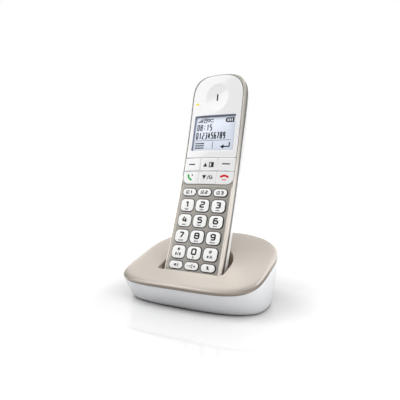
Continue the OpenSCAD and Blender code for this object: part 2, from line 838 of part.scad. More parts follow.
module base_body() {
    outer = [body_ring(1.4, 0, foot_h), body_ring(0.4, 0.04, foot_h), body_ring(0, 0.12, foot_h),
        for (t = [0.3, 0.55, 0.8, 1]) body_ring(0, t, foot_h)];
    inner = [for (t = [1, 0.6, 0.3, 0]) body_ring(body_wall, t, base_floor)];
    color([0.94, 0.94, 0.94])
        difference() {
            loft(concat(outer, inner), flip = true);
            for (p = body_screws) for (sx = [-1, 1])
                translate([sx * p[0], p[1], 0]) {
                    cylinder(r = 1.7, h = 8);
                    cylinder(r = 3.2, h = foot_h + 1);
                }
            translate([jack_x - 5.2, 30, board_z + 1]) cube([10.4, 40, socket_h + 0.5]);
            translate([line_x - 6.7, 30, board_z + 1]) cube([13.4, 40, socket_h + 0.5]);
            for (p = foot_places) translate([p[0], p[1], 0]) cylinder(r = foot_r + 0.05, h = foot_h + 0.6);
        }
}

module base_feet() {
    color([0.3, 0.3, 0.3])
        for (p = foot_places) translate([p[0], p[1], 0]) cylinder(r = foot_r, h = foot_h + 0.6 - seat);
}

module base_screws() {
    color([0.6, 0.6, 0.62])
        for (p = body_screws) for (sx = [-1, 1])
            translate([sx * p[0], p[1], 0]) {
                translate([0, 0, foot_h + 0.2]) cylinder(r = 2.8, h = 0.77);
                translate([0, 0, foot_h + 0.9]) cylinder(r = 1.15, h = 9);
            }
}

module base_board() {
    color([0.1, 0.35, 0.2])
        difference() {
            union() {
                translate([-24, board_y, board_z]) cube([48, 12, board_t]);
                for (sx = [-1, 1])
                    translate([sx * 21, board_y + 3, base_floor + seat])
                        cylinder(r = 2.2, h = board_z - base_floor);
            }
            for (sx = [-1, 1])
                translate([sx * 22, board_y + 9, board_z - 1]) cylinder(r = 1.2, h = 5);
        }
}

module power_socket() {
    color([0.12, 0.12, 0.13])
        difference() {
            translate([jack_x - 5, socket_y, board_z + board_t + seat]) cube([10, socket_l, socket_h]);
            translate([jack_x, socket_y + 4, socket_z]) rotate([-90, 0, 0]) cylinder(r = 3.2, h = 20);
        }
    color([0.8, 0.8, 0.82])
        translate([jack_x, socket_y + 3.5, socket_z]) rotate([-90, 0, 0]) cylinder(r = 0.9, h = 9);
}

module line_socket() {
    color([0.12, 0.12, 0.13])
        difference() {
            translate([line_x - 6.5, socket_y, board_z + board_t + seat]) cube([13, socket_l, socket_h]);
            translate([line_x - 4.9, socket_y + 3, socket_z - 3.6]) cube([9.8, 20, 6.8]);
            translate([line_x - 2, socket_y + 3, socket_z - 5]) cube([4, 20, 3]);
        }
}

module charge_pin(sx) {
    color([0.85, 0.8, 0.6])
        at(s_bottom) translate([sx * pin_x, pin_b, -pin_l]) {
            cylinder(r = pin_r, h = pin_l);
            translate([0, 0, pin_l - well_wall - 1.1]) cylinder(r = pin_r + 0.6, h = 1);
        }
}

handset_front_frame();
keypad_plate();
front_panel();
display_window();
display_module();
display_backlight();
earpiece_receiver();
status_light();
keymat();
keypad_board();
main_board();
shield_can();
microphone();
ringer_speaker();
battery_bay();
battery_left();
battery_right();
battery_contacts();
handset_back_shell();
battery_door();
handset_charge_pads();
handset_screws();
soft_key_left();
up_key();
soft_key_right();
talk_key();
down_key();
end_key();
memory_key(1);  // memory_key_1
memory_key(2);  // memory_key_2
memory_key(3);  // memory_key_3
digit_key(1);  // digit_key_1
digit_key(2);  // digit_key_2
digit_key(3);  // digit_key_3
digit_key(4);  // digit_key_4
digit_key(5);  // digit_key_5
digit_key(6);  // digit_key_6
digit_key(7);  // digit_key_7
digit_key(8);  // digit_key_8
digit_key(9);  // digit_key_9
star_key();
digit_key_0();
hash_key();
foot_key(0);  // speaker_key
foot_key(1);  // volume_key
foot_key(2);  // mute_key
base_cover();
cradle_well();
base_body();
base_board();
charge_pin(-1);  // charge_pin_left
charge_pin(1);  // charge_pin_right
power_socket();
line_socket();
base_feet();
base_screws();
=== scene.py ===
import json
import math

import bmesh
import bpy
import numpy as np
from mathutils import Matrix, Vector
from mathutils.geometry import delaunay_2d_cdt, tessellate_polygon


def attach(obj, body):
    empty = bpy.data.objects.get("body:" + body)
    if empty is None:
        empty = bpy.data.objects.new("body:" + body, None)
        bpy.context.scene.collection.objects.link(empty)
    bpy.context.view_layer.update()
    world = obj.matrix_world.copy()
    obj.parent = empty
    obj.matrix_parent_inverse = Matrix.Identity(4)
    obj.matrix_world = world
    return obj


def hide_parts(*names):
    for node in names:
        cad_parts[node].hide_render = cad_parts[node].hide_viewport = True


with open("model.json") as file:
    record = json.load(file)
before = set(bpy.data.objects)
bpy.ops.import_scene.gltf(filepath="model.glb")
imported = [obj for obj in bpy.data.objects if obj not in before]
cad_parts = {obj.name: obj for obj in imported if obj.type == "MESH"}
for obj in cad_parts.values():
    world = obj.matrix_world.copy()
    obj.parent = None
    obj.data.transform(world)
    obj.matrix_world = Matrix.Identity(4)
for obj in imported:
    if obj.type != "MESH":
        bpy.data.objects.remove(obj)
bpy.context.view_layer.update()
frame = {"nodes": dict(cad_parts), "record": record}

MM = 0.001
SHARP = 38  # degrees between two faces from which their edge isn't shaded smooth
scene = bpy.context.scene

# ---------- the part's own sizes, in millimetres ----------
# handset: x runs across it, s up its face from the lowest key row, b inwards from its face
half_w, hand_t, hand_t_top = 25.7, 26.0, 23.0
s_bottom, s_arc, top_rise, top_p, top_flare = -15.0, 150.0, 24.48, 2.9, 0.5
corner_r, face_r, crown_r = 5.0, 720.0, 234.0
split_b, split_rise, back_bulge, shell_wall, plate_t = 8.0, 2.2, 2.8, 1.8, 1.5
split_from, split_over, thin_from, thin_over = 105, 45, 96, 50
lean_bottom, face_y, face_z = 25.4, -24.3, 30.2
fit, panel_inset = 0.12, 1.5
panel_w = half_w - panel_inset
# push keys
key_pitch, row_pitch, s_star, s_memory = 14.5, 13.65, 11.05, 63.75
digit_w, digit_h, slim_w, slim_h, digit_r, slim_r = 12.3, 10.9, 12.4, 6.4, 3.3, 3.0
key_proud, key_gap, key_dome, key_edge = 1.0, 0.3, 70.0, 0.45
flange_b, flange_t, flange_w = plate_t + 0.05, 0.7, 0.6
crown_top = key_pitch ** 2 / (2 * crown_r)
# navigation keys
s_nav, s_nav_mid, s_panel, nav_div, nav_r = 71.5, 83.2, 95.7, 8.2, 6.5
nav_t, nav_foot_b, nav_foot_in, nav_panel_gap = 1.3, 2.0, 2.0, 0.25
# window, earpiece, status light, microphone
win_w, s_win_low, s_win_top = 19.8, 102.6, 135.3
s_disp_mid = (s_win_low + s_win_top) / 2
s_ear, ear_r, ear_depth, ear_back_r, slit_l, slit_w = 152.3, 12.0, 1.1, 12.8, 6.6, 1.2
s_light, light_x = 147.0, 19.3
s_mic = s_bottom + 6.6
# battery door, screws, ringer, charging contacts
s_bay, door_w, door_h, door_r = 64.0, 16.0, 28.0, 4
screw_x, screw_head_r = half_w - 5.5, 2.5
hand_screws = [(sx * screw_x, s) for s in (24.0, 141.0) for sx in (-1, 1)]
boss_r, boss_bore, boss_b = 3.2, 1.0, 10.9
s_ringer, ringer_ring, ringer_hole = 118, 3.0, 0.8
pin_x, pin_b, pocket_w, pocket_h, pocket_t = 9.0, 12.0, 4.1, 2.6, 2.6
# base: rim round its top, foot round its bottom, each with a front and a back half
rim_w, rim_y, rim_front, rim_back, front_p, back_p = 60.8, 2.3, 54.0, 49.5, 4.6, 2.45
foot_w, foot_y, foot_front, foot_back, foot_p, wall_bulge = 60.36, -9.4, 31.4, 45.4, 3.0, 0.64
foot_back_p = 2.2
seam_z, seam_rise, cover_z, cover_rise, cover_drop = 30.3, 0.231, 36.0, 0.266, 1.0
body_wall, cover_wall, foot_h, base_floor, seat = 2.2, 2.0, 0.6, 2.6, 0.03
slot_w, slot_front, slot_mid, slot_arc, slot_r = 29.5, -31.0, -14.3, 33.0, 4.5
body_screws = [(sx * x, y) for x, y in ((44.0, -24.0), (36.0, 20.0)) for sx in (-1, 1)]
body_boss_r, body_boss_bore = 3.4, 1.2
foot_places = ((-46.9, -12), (46.9, -12), (-25, 26), (25, 26))
jack_x, jack_w, line_x, line_w = -15.0, 5.2, 12.0, 6.7
board_z, socket_h, foot_r, screw_seat_r = 10.0, 11.0, 4.0, 3.2


def cosd(t):
    return math.cos(math.radians(t))


def sind(t):
    return math.sin(math.radians(t))


# ---------- places on the curved handset ----------
def lean(s):
    return math.radians(lean_bottom) - s / face_r


def on_hand(x, s, b):
    a, a0 = lean(s), math.radians(lean_bottom)
    y = face_y + face_r * (math.cos(a) - math.cos(a0)) + b * math.cos(a)
    z = face_z + face_r * (math.sin(a0) - math.sin(a)) - b * math.sin(a)
    return (x, y, z)


def crown(x):
    return x * x / (2 * crown_r) - crown_top


def on_face(x, s, b):
    return on_hand(x, s, b + crown(x))


def at(s):
    """Place in the frame that touches the face at s: across, into the handset, up the face."""
    a = lean(s)
    _, y0, z0 = on_hand(0, s, 0)
    return lambda x, b, v: (x, y0 + b * math.cos(a) + v * math.sin(a),
                            z0 - b * math.sin(a) + v * math.cos(a))


def smooth(t):
    u = min(1.0, max(0.0, t))
    return u * u * (3 - 2 * u)


def split_at(s):
    return split_b + split_rise * smooth((s - split_from) / split_over)


def thick(s):
    return hand_t - (hand_t - hand_t_top) * smooth((s - thin_from) / thin_over)


def mirrored(half):
    """Closed ring from its right half, whose two ends lie on the middle line."""
    return half + [(-x, v) for x, v in half[-2:0:-1]]


def outline(o, top_pull=1.0, low_pull=1.0, p=top_p):
    """The handset's outline drawn in by o, as (x, s)."""
    w, low, rise = half_w - o, s_bottom + low_pull * o, top_rise - top_pull * o
    r = min(corner_r, w)
    half = [((w - r) * i / 5, low) for i in range(5)]
    half += [(w - r + r * sind(t), low + r - r * cosd(t))
             for t in range(0, 91, 10)]
    half += [(w, s) for s in np.arange(-5.0, s_arc - 1, 4.0)]
    for i in range(35):
        t = math.radians(90 * (1 - (1 - i / 34) ** 1.7))
        half.append((w * max(0.0, math.cos(t)) ** (2 / p), s_arc + rise * math.sin(t) ** (2 / p)))
    half[-1] = (0.0, half[-1][1])
    return mirrored(half)


# ---------- flat loops ----------
def rounded(w, h, r, x=0.0, v=0.0, steps=9):
    """Rounded rectangle, anticlockwise."""
    out = []
    for q in range(4):
        sx, sy = (1, -1, -1, 1)[q], (1, 1, -1, -1)[q]
        for i in range(steps + 1):
            t = math.radians(90 * (q + i / steps))
            out.append((x + sx * (w / 2 - r) + r * math.cos(t), v + sy * (h / 2 - r) + r * math.sin(t)))
    return out


def block(x, v, w, h):
    return [(x - w / 2, v - h / 2), (x + w / 2, v - h / 2), (x + w / 2, v + h / 2), (x - w / 2, v + h / 2)]


def disc(x, v, r, steps=20):
    return [(x + r * math.cos(2 * math.pi * i / steps), v + r * math.sin(2 * math.pi * i / steps))
            for i in range(steps)]


def arc(x, v, r, a0, a1, steps=10):
    return [(x + r * cosd(a0 + (a1 - a0) * i / steps),
             v + r * sind(a0 + (a1 - a0) * i / steps)) for i in range(steps + 1)]


def dense(loop, step):
    """The loop with points added, so that no side is longer than step."""
    out = []
    for k, p in enumerate(loop):
        q = loop[(k + 1) % len(loop)]
        n = max(1, math.ceil(math.dist(p, q) / step))
        out += [(p[0] + (q[0] - p[0]) * i / n, p[1] + (q[1] - p[1]) * i / n) for i in range(n)]
    return out


def inset(loop, d):
    """The closed loop drawn in by d on its left side."""
    p = np.array(loop, dtype=float)
    a, b = p - np.roll(p, 1, 0), np.roll(p, -1, 0) - p
    a /= np.maximum(np.linalg.norm(a, axis=1, keepdims=True), 1e-9)
    b /= np.maximum(np.linalg.norm(b, axis=1, keepdims=True), 1e-9)
    na, nb = np.stack([-a[:, 1], a[:, 0]], 1), np.stack([-b[:, 1], b[:, 0]], 1)
    n = na + nb
    n /= np.maximum(np.linalg.norm(n, axis=1, keepdims=True), 1e-9)
    cos = np.maximum((n * na).sum(1, keepdims=True), 0.4)
    return [tuple(q) for q in p + n * d / cos]


def inside(points, segs):
    """Which of the points lie inside the closed loops, by counting crossings."""
    x, y = points[:, 0:1], points[:, 1:2]
    x0, y0, x1, y1 = segs[:, 0, 0], segs[:, 0, 1], segs[:, 1, 0], segs[:, 1, 1]
    with np.errstate(divide="ignore", invalid="ignore"):
        hit = x < (x1 - x0) * (y - y0) / (y1 - y0) + x0
    return (((y0 > y) != (y1 > y)) & hit).sum(1) % 2 == 1


def curve_through(points, n):
    """Smooth line through the points, n steps between each two."""
    out = []
    p = [Vector(q) for q in points]
    for k in range(len(p) - 1):
        a, b, c, d = p[max(0, k - 1)], p[k], p[k + 1], p[min(len(p) - 1, k + 2)]
        for i in range(n):
            t = i / n
            out.append(tuple(0.5 * ((2 * b) + (c - a) * t + (2 * a - 5 * b + 4 * c - d) * t * t
                                    + (3 * b - a - 3 * c + d) * t ** 3)))
    return out + [tuple(p[-1])]


def edge_round(r, steps=4):
    """Edge profile from the wall to the top, as (inset, drop)."""
    return [(r * (1 - math.cos(t)), r * (1 - math.sin(t)))
            for t in (math.pi / 2 * i / steps for i in range(steps + 1))]


# ---------- mesh building ----------
ROW = 0.866     # rows of the inner points, in steps: equal triangles
CLEAR = 0.35    # inner points nearer to a border than this, in steps, are left out


class Build:
    """Collects rings, bands and filled regions in millimetres, and makes one mesh of them."""

    def __init__(self):
        self.verts, self.faces, self.kinds, self.tints = [], [], [], []
        self.kind, self.tint = 0, 0.0

    def ring(self, points):
        start = len(self.verts)
        self.verts += [tuple(p) for p in points]
        self.tints += [self.tint] * (len(self.verts) - start)
        return list(range(start, len(self.verts)))

    def face(self, ids):
        self.faces.append(tuple(ids))
        self.kinds.append(self.kind)

    def band(self, a, b):
        n = len(a)
        for i in range(n):
            j = (i + 1) % n
            self.face((a[i], a[j], b[j], b[i]))

    def tube(self, rings, start=()):
        """Rings joined each to the next; start holds the ids of a ring that comes before them."""
        ids = list(start) + [self.ring(points) for points in rings]
        for a, b in zip(ids, ids[1:]):
            self.band(a, b)
        return ids

    def ladder(self, ids):
        """Cap across a mirrored ring, from its right side to its left side."""
        n = len(ids)
        h = n // 2
        self.face((ids[0], ids[1], ids[n - 1]))
        for i in range(1, h - 1):
            self.face((ids[i], ids[i + 1], ids[n - i - 1], ids[n - i]))
        self.face((ids[h - 1], ids[h], ids[h + 1]))

    def fill(self, loops, place, step, extra=()):
        """Triangles between loops of (points, ids); place(x, v) puts the inner points."""
        flat = [p for points, _ in loops for p in points]
        ids = [i for _, group in loops for i in group]
        edges, start = [], 0
        for points, _ in loops:
            n = len(points)
            edges += [(start + i, start + (i + 1) % n) for i in range(n)]
            start += n
        border = np.array(flat)
        segs = np.array([(flat[a], flat[b]) for a, b in edges])
        lo, hi = border.min(0), border.max(0)
        grid = [tuple(p) for p in extra]
        row = 0
        v = lo[1] + step * 0.5
        while step and v < hi[1]:
            shift = step * (0.25 if row % 2 else 0.75)
            grid += [(x, v) for x in np.arange(lo[0] + shift, hi[0], step)]
            v += step * ROW
            row += 1
        if grid:
            cand = np.array(grid)
            cand = cand[inside(cand, segs)]
            gap = np.linalg.norm(cand[:, None, :] - border[None], axis=2).min(1)
            cand = cand[gap > CLEAR * (step or 0.1)]
        else:
            cand = np.zeros((0, 2))
        points = [Vector(p) for p in flat] + [Vector(p) for p in cand]
        verts, _, tris, origin, _, _ = delaunay_2d_cdt(points, edges, [], 0, 1e-5)
        ids += self.ring([place(x, v) for x, v in cand])
        table = [ids[sources[0]] if sources else self.ring([place(*verts[k])])[0]
                 for k, sources in enumerate(origin)]
        centres = np.array([sum((Vector(verts[i]) for i in t), Vector((0, 0))) / 3 for t in tris])
        for t, keep in zip(tris, inside(centres, segs)):
            if keep:
                self.face([table[i] for i in t])

    def box(self, place, x0, x1, y0, y1, z0, z1):
        corners = ((x0, y0), (x1, y0), (x1, y1), (x0, y1))
        low, top = self.tube([[place(x, y, z) for x, y in corners] for z in (z0, z1)])
        self.face(low[::-1])
        self.face(top)

    def prism(self, place, loop, b0, b1):
        """The loop drawn from one depth of a frame from at() to another."""
        low, top = self.tube([[place(x, b, v) for x, v in loop] for b in (b0, b1)])
        self.face(low)
        self.face(top[::-1])

    def turned(self, place, x, v, profile):
        """Round solid about (x, v); the profile gives its radius and the depth of each ring."""
        ids = self.tube([[place(a, b, c) for a, c in disc(x, v, r, 28)] for r, b in profile])
        self.face(ids[0])
        self.face(ids[-1])

    def mesh(self, name):
        mesh = bpy.data.meshes.new(name)
        bm = bmesh.new()
        # the "edge" marks say where painted shade or painted highlight goes
        layer = bm.verts.layers.float.new("edge") if any(self.tints) else None
        made = [bm.verts.new([c * MM for c in v]) for v in self.verts]
        if layer:
            for v, tint in zip(made, self.tints):
                v[layer] = tint
        for ids, kind in zip(self.faces, self.kinds):
            ids = [i for k, i in enumerate(ids) if i != ids[k - 1]]
            if len(set(ids)) > 2:
                try:
                    f = bm.faces.new([made[i] for i in ids])
                    f.material_index = kind
                except ValueError:
                    pass  # the same face again
        bmesh.ops.delete(bm, geom=[v for v in bm.verts if not v.link_faces], context="VERTS")
        bmesh.ops.recalc_face_normals(bm, faces=bm.faces)
        shade(bm)
        bm.to_mesh(mesh)
        bm.free()
        return mesh


def shade(bm):
    limit = math.radians(SHARP)
    for f in bm.faces:
        f.smooth = True
    for e in bm.edges:
        e.smooth = len(e.link_faces) == 2 and e.calc_face_angle(0.0) < limit


def flat(d):
    return lambda x, v: d


def sheet(build, loops, profiles, top, low, step, extra=(), wall_kinds=None):
    """Plate on the handset's face, between the depths top(x, v) and low(x, v): loops[0] is its
    outline, anticlockwise, the others its holes, clockwise; profiles are of their upper edges."""
    upper, under = [], []
    for number, (loop, profile) in enumerate(zip(loops, profiles)):
        base = build.ring([on_face(x, v, low(x, v)) for x, v in loop])
        last = base
        under.append((loop, base))
        moved = loop
        for k, (o, drop) in enumerate(profile):
            moved = inset(loop, o)
            ids = build.ring([on_face(x, v, top(x, v) + drop) for x, v in moved])
            if wall_kinds and (k == 0 or wall_kinds[number] == 1):
                build.kind = wall_kinds[number]
            build.band(last, ids)
            build.kind = 0
            last = ids
        upper.append((moved, last))
    build.fill(upper, lambda x, v: on_face(x, v, top(x, v)), step, extra)
    build.fill(under, lambda x, v: on_face(x, v, low(x, v)), 0)


def new_object(name, data):
    obj = bpy.data.objects.new(name, data)
    scene.collection.objects.link(obj)
    return obj


def add(name, mesh, body, materials, replaces):
    """The mesh as a piece that rides on body; materials are named in the order of the kinds."""
    obj = new_object(name, mesh)
    for key in materials.split():
        mesh.materials.append(M[key])
    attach(obj, body)
    if replaces:
        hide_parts(*replaces)
    return obj


def carve(obj, cutter, operation="DIFFERENCE"):
    """Cuts obj with the closed mesh cutter, and keeps the result as obj's own mesh."""
    tool = new_object("cutter", cutter)
    mod = obj.modifiers.new("cut", "BOOLEAN")
    mod.object, mod.operation, mod.solver = tool, operation, "EXACT"
    depsgraph = bpy.context.evaluated_depsgraph_get()
    result = bpy.data.meshes.new_from_object(obj.evaluated_get(depsgraph))
    obj.modifiers.clear()
    bm = bmesh.new()
    bm.from_mesh(result)
    bmesh.ops.remove_doubles(bm, verts=bm.verts, dist=1e-6)
    shade(bm)
    bm.to_mesh(result)
    bm.free()
    old = obj.data
    result.name = old.name + "_cut"
    obj.data = result
    bpy.data.meshes.remove(old)
    bpy.data.objects.remove(tool)
    bpy.data.meshes.remove(cutter)


# ---------- shader nodes ----------
def empty_tree(owner):
    owner.use_nodes = True
    owner.node_tree.nodes.clear()
    return owner.node_tree


def add_node(nt, kind, inputs=None, **settings):
    """New shader node. An input is a plain value, or the socket that feeds it."""
    new = nt.nodes.new("ShaderNode" + kind)
    for key, value in settings.items():
        setattr(new, key, value)
    for key, value in (inputs or {}).items():
        if isinstance(value, bpy.types.NodeSocket):
            nt.links.new(value, new.inputs[key])
        else:
            new.inputs[key].default_value = value
    return new


def remap(nt, value, start, end, low=0.0, high=1.0, kind="SMOOTHSTEP"):
    """The value taken from start..end to low..high."""
    inputs = {"Value": value, "From Min": start, "From Max": end, "To Min": low, "To Max": high}
    return add_node(nt, "MapRange", inputs, interpolation_type=kind).outputs["Result"]


def blend(nt, fac, a, b):
    """Colour between a and b."""
    return add_node(nt, "Mix", {"Factor": fac, "A": a, "B": b}, data_type="RGBA").outputs["Result"]


def mixed(nt, fac, a, b):
    """Shader a where fac is 0, and b where it is 1."""
    return add_node(nt, "MixShader", {0: fac, 1: a, 2: b}).outputs[0]


def greater(nt, a, b):
    return add_node(nt, "Math", {0: a, 1: b}, operation="MAXIMUM").outputs[0]


# ---------- materials ----------
TONE_SCALE, GLOSS_SCALE, FLAKE_SCALE = 35.0, 120.0, 5500.0  # per metre
FLAKE_GAIN, WEAR_GAIN = 1.35, 1.5
WEAR_START, WEAR_FULL = 0.53, 0.62  # pointiness
BUMP_DEPTH = 0.0002
M = {}  # the materials by their names


def srgb(r, g, b):
    def one(c):
        c /= 255
        return c / 12.92 if c <= 0.04045 else ((c + 0.055) / 1.055) ** 2.4
    return (one(r), one(g), one(b), 1.0)


def scaled(c, k):
    return (min(1, c[0] * k), min(1, c[1] * k), min(1, c[2] * k), 1.0)


def finish(name, color, rough, metallic=0.0, coat=0.0, coat_rough=0.05, coat_ior=1.5, vary=0.02,
           grain=900.0, bump=0.02, wear=0.04, rough_vary=0.03, flakes=0.0, specular=0.5, emit=0.0,
           edge_color=None, alpha=1.0):
    """Painted or moulded surface: cloudy colour change, fine grain in bump and gloss, and where
    asked for metal flakes, pale worn edges, and a painted shade or painted highlight colour where the mesh
    is marked "edge"."""
    M[name] = bpy.data.materials.new(name)
    nt = empty_tree(M[name])
    color = srgb(*color)
    spots = add_node(nt, "TexCoord").outputs["Object"]

    def noise(scale, detail):
        inputs = {"Scale": scale, "Detail": detail, "Vector": spots}
        return add_node(nt, "TexNoise", inputs).outputs["Fac"]

    tone = blend(nt, noise(TONE_SCALE, 3.0), scaled(color, 1 - vary), scaled(color, 1 + vary))
    if flakes:
        cells = add_node(nt, "TexVoronoi", {"Scale": FLAKE_SCALE, "Vector": spots}).outputs["Distance"]
        share = remap(nt, cells, 0.0, 1.0, 0.0, flakes, "LINEAR")
        tone = blend(nt, share, tone, scaled(color, FLAKE_GAIN))
    if wear:
        corners = add_node(nt, "NewGeometry").outputs["Pointiness"]
        share = remap(nt, corners, WEAR_START, WEAR_FULL, 0.0, wear, "LINEAR")
        tone = blend(nt, share, tone, scaled(color, WEAR_GAIN))
    # painted shade or painted highlight where the mesh is marked "edge"
    if edge_color:
        marked = add_node(nt, "Attribute", attribute_name="edge").outputs["Fac"]
        tone = blend(nt, marked, tone, srgb(*edge_color))
    low, high = max(0.0, rough - rough_vary), rough + rough_vary
    inputs = {"Base Color": tone, "Metallic": metallic, "IOR": 1.5, "Specular IOR Level": specular,
              "Roughness": remap(nt, noise(GLOSS_SCALE, 4.0), 0.0, 1.0, low, high, "LINEAR"),
              "Coat Weight": coat, "Coat Roughness": coat_rough, "Coat IOR": coat_ior, "Alpha": alpha}
    if bump:
        relief = {"Strength": bump, "Distance": BUMP_DEPTH, "Height": noise(grain, 2.0)}
        inputs["Normal"] = add_node(nt, "Bump", relief).outputs["Normal"]
    if emit:
        inputs["Emission Color"], inputs["Emission Strength"] = color, emit
    bsdf = add_node(nt, "BsdfPrincipled", inputs)
    add_node(nt, "OutputMaterial", {"Surface": bsdf.outputs["BSDF"]})


def ink(name, color, rough=0.6):
    finish(name, color, rough, specular=0.15, vary=0.03, wear=0.0, bump=0.05, grain=3000.0)


# the dark colour is painted shade on the frame's side, towards its top and on its lip
finish("frame_lacquer", (218, 212, 203), 0.32, metallic=0.2, coat=0.1, flakes=0.10, bump=0.03, wear=0.0,
       specular=0.4, edge_color=(64, 61, 57))
# the pale colour is a painted highlight on the plate's rolled border
finish("plate_lacquer", (148, 144, 138), 0.40, metallic=0.3, flakes=0.12, bump=0.04,
       edge_color=(242, 236, 228))
# the dark colour is painted shade round the foot of the cover's wall
finish("cover_lacquer", (224, 215, 205), 0.34, metallic=0.3, coat=0.1, coat_rough=0.15, flakes=0.12,
       bump=0.03, edge_color=(126, 118, 109))
finish("groove_shade", (74, 72, 69), 0.6, vary=0.03, wear=0.0, bump=0.03, specular=0.2)
finish("key_gap_shade", (52, 49, 46), 0.7, vary=0.04, wear=0.0, bump=0.03, specular=0.2)
# the dark colour is painted shade at the front panel's outer corners
finish("white_gloss", (232, 232, 233), 0.07, vary=0.006, bump=0.0, rough_vary=0.01,
       edge_color=(60, 58, 56))
finish("base_white", (238, 239, 241), 0.22, coat=0.4, coat_rough=0.04, vary=0.008, bump=0.01,
       wear=0.012)
finish("shell_white", (238, 238, 239), 0.28, coat=0.2, vary=0.008, wear=0.008)
finish("key_white", (242, 242, 241), 0.32, coat=0.1, coat_rough=0.2, vary=0.008)
ink("key_ink", (40, 40, 43))
ink("key_ink_light", (84, 84, 88))
ink("ink_green", (0, 168, 58), 0.5)
ink("ink_red", (204, 30, 18), 0.5)
finish("seam_grey", (158, 158, 160), 0.6, vary=0.03, wear=0.0, bump=0.05)
finish("window_glass", (246, 248, 252), 0.17, metallic=1.0, vary=0.004, bump=0.0, wear=0.0,
       rough_vary=0.01, alpha=0.006)
# blue-grey of the window hole's wall, also used for the painted shade along the display's left and upper
# side
finish("window_bezel", (128, 136, 157), 0.5, coat=1.0, coat_rough=0.06, coat_ior=1.6, vary=0.03,
       wear=0.02, bump=0.03)
finish("lcd_pale_blue", (222, 229, 242), 0.5, specular=0.1, coat=1.0, coat_rough=0.06, vary=0.012,
       wear=0.0, bump=0.01, rough_vary=0.02)
finish("lcd_segments", (20, 22, 30), 0.6, specular=0.05, coat=0.8, coat_rough=0.06, vary=0.03, wear=0.0,
       bump=0.01)
finish("dark_plastic", (44, 44, 47), 0.45, vary=0.05, wear=0.06, bump=0.06)
finish("speaker_felt", (16, 16, 18), 0.95, specular=0.1, vary=0.15, wear=0.0, bump=0.4, grain=2600.0)
finish("amber_light", (246, 222, 52), 0.5, wear=0.0, bump=0.0, specular=0.2, emit=0.2)
finish("mat_rubber", (150, 150, 154), 0.7, vary=0.04, bump=0.1)
finish("board_green", (38, 98, 62), 0.4, coat=0.3, vary=0.08, bump=0.08, grain=500.0)
finish("tin_plate", (190, 192, 196), 0.32, metallic=1.0, vary=0.04, bump=0.04)
finish("cell_sleeve", (86, 142, 98), 0.3, coat=0.3, vary=0.04)
finish("contact_steel", (200, 201, 204), 0.25, metallic=1.0, vary=0.04, bump=0.04)
finish("gilt_contact", (212, 184, 118), 0.25, metallic=1.0, vary=0.05, bump=0.03)
finish("screw_steel", (150, 151, 155), 0.35, metallic=1.0, vary=0.05, bump=0.05)
# the cradle's well: a darker, browner copy of the cover's champagne, painted shade for its hollow
finish("well_brown", (200, 184, 168), 0.5, vary=0.03, bump=0.05)
finish("foot_rubber", (58, 58, 60), 0.8, vary=0.06, bump=0.15)
finish("light_guide", (236, 238, 242), 0.3, vary=0.01, bump=0.01)

# the nodes that keep their CAD mesh: their slots that aren't a material's name
SLOTS = {"white_satin": "shell_white", "window": "window_glass", "display": "lcd_pale_blue",
         "amber": "amber_light", "board": "board_green", "tin": "tin_plate",
         "contact": "contact_steel", "gilt": "gilt_contact"}

for row in frame["record"]["subparts"]:
    node, slot = frame["nodes"][row["node"]], row["material_slot"]
    node.data.materials.clear()
    node.data.materials.append(M[SLOTS.get(slot, slot)])


# ---------- printed marks ----------
def path_corners(points, r, closed):
    """The polyline with its corners rounded by r."""
    n = len(points)
    out = []
    for k, p in enumerate(points):
        if not closed and k in (0, n - 1):
            out.append(p)
            continue
        a, b = Vector(points[k - 1]), Vector(points[(k + 1) % n])
        c = Vector(p)
        la, lb = (a - c).length, (b - c).length
        e = min(r, la * 0.49, lb * 0.49)
        u, w = c + (a - c) * e / la, c + (b - c) * e / lb
        for i in range(5):
            t = i / 4
            out.append(tuple(u * (1 - t) ** 2 + c * 2 * t * (1 - t) + w * t * t))
    return out


def stroke(points, width, closed=False, r=0.0):
    """Polygons of a drawn line."""
    if r:
        points = path_corners(points, r, closed)
    p = [Vector(q) for q in points]
    n = len(p)
    ways = [(p[(k + 1) % n] - p[k]).normalized() for k in range(n)]
    left, right = [], []
    for k in range(n):
        first = ways[k - 1] if closed or k else ways[0]
        then = ways[k] if closed or k < n - 1 else first
        d = first + then
        d = d.normalized() if d.length > 1e-6 else first
        normal = Vector((-d.y, d.x))
        reach = width / 2 / max(0.5, normal.dot(Vector((-first.y, first.x))))
        left.append(p[k] + normal * reach)
        right.append(p[k] - normal * reach)
    return [[tuple(q) for q in (left[i], right[i], right[(i + 1) % n], left[(i + 1) % n])]
            for i in range(n if closed else n - 1)]


# plain digits in a box of 1 by 1: (points, closed) of each line
DIGITS = {
    "0": [([(0, 0), (1, 0), (1, 1), (0, 1)], True)],
    "1": [([(0.2, 0.8), (0.62, 1), (0.62, 0)], False)],
    "2": [([(0.02, 1), (1, 1), (1, 0.58), (0, 0.36), (0, 0), (1, 0)], False)],
    "3": [([(0.02, 1), (1, 1), (1, 0), (0, 0)], False), ([(0.3, 0.53), (1, 0.53)], False)],
    "4": [([(0.78, 0), (0.78, 0.78)], False), ([(0.44, 1.04), (-0.06, 0.28), (1.06, 0.28)], False)],
    "5": [([(0.98, 1), (0.04, 1), (0.04, 0.56), (1, 0.56), (1, 0), (0, 0)], False)],
    "6": [([(0.92, 1), (0, 1), (0, 0), (1, 0), (1, 0.56), (0.02, 0.56)], False)],
    "7": [([(0, 1), (1, 1), (0.36, 0)], False)],
    "8": [([(0, 0), (1, 0), (1, 1), (0, 1)], True), ([(0, 0.53), (1, 0.53)], False)],
    "9": [([(0.08, 0), (1, 0), (1, 1), (0, 1), (0, 0.44), (0.98, 0.44)], False)],
}


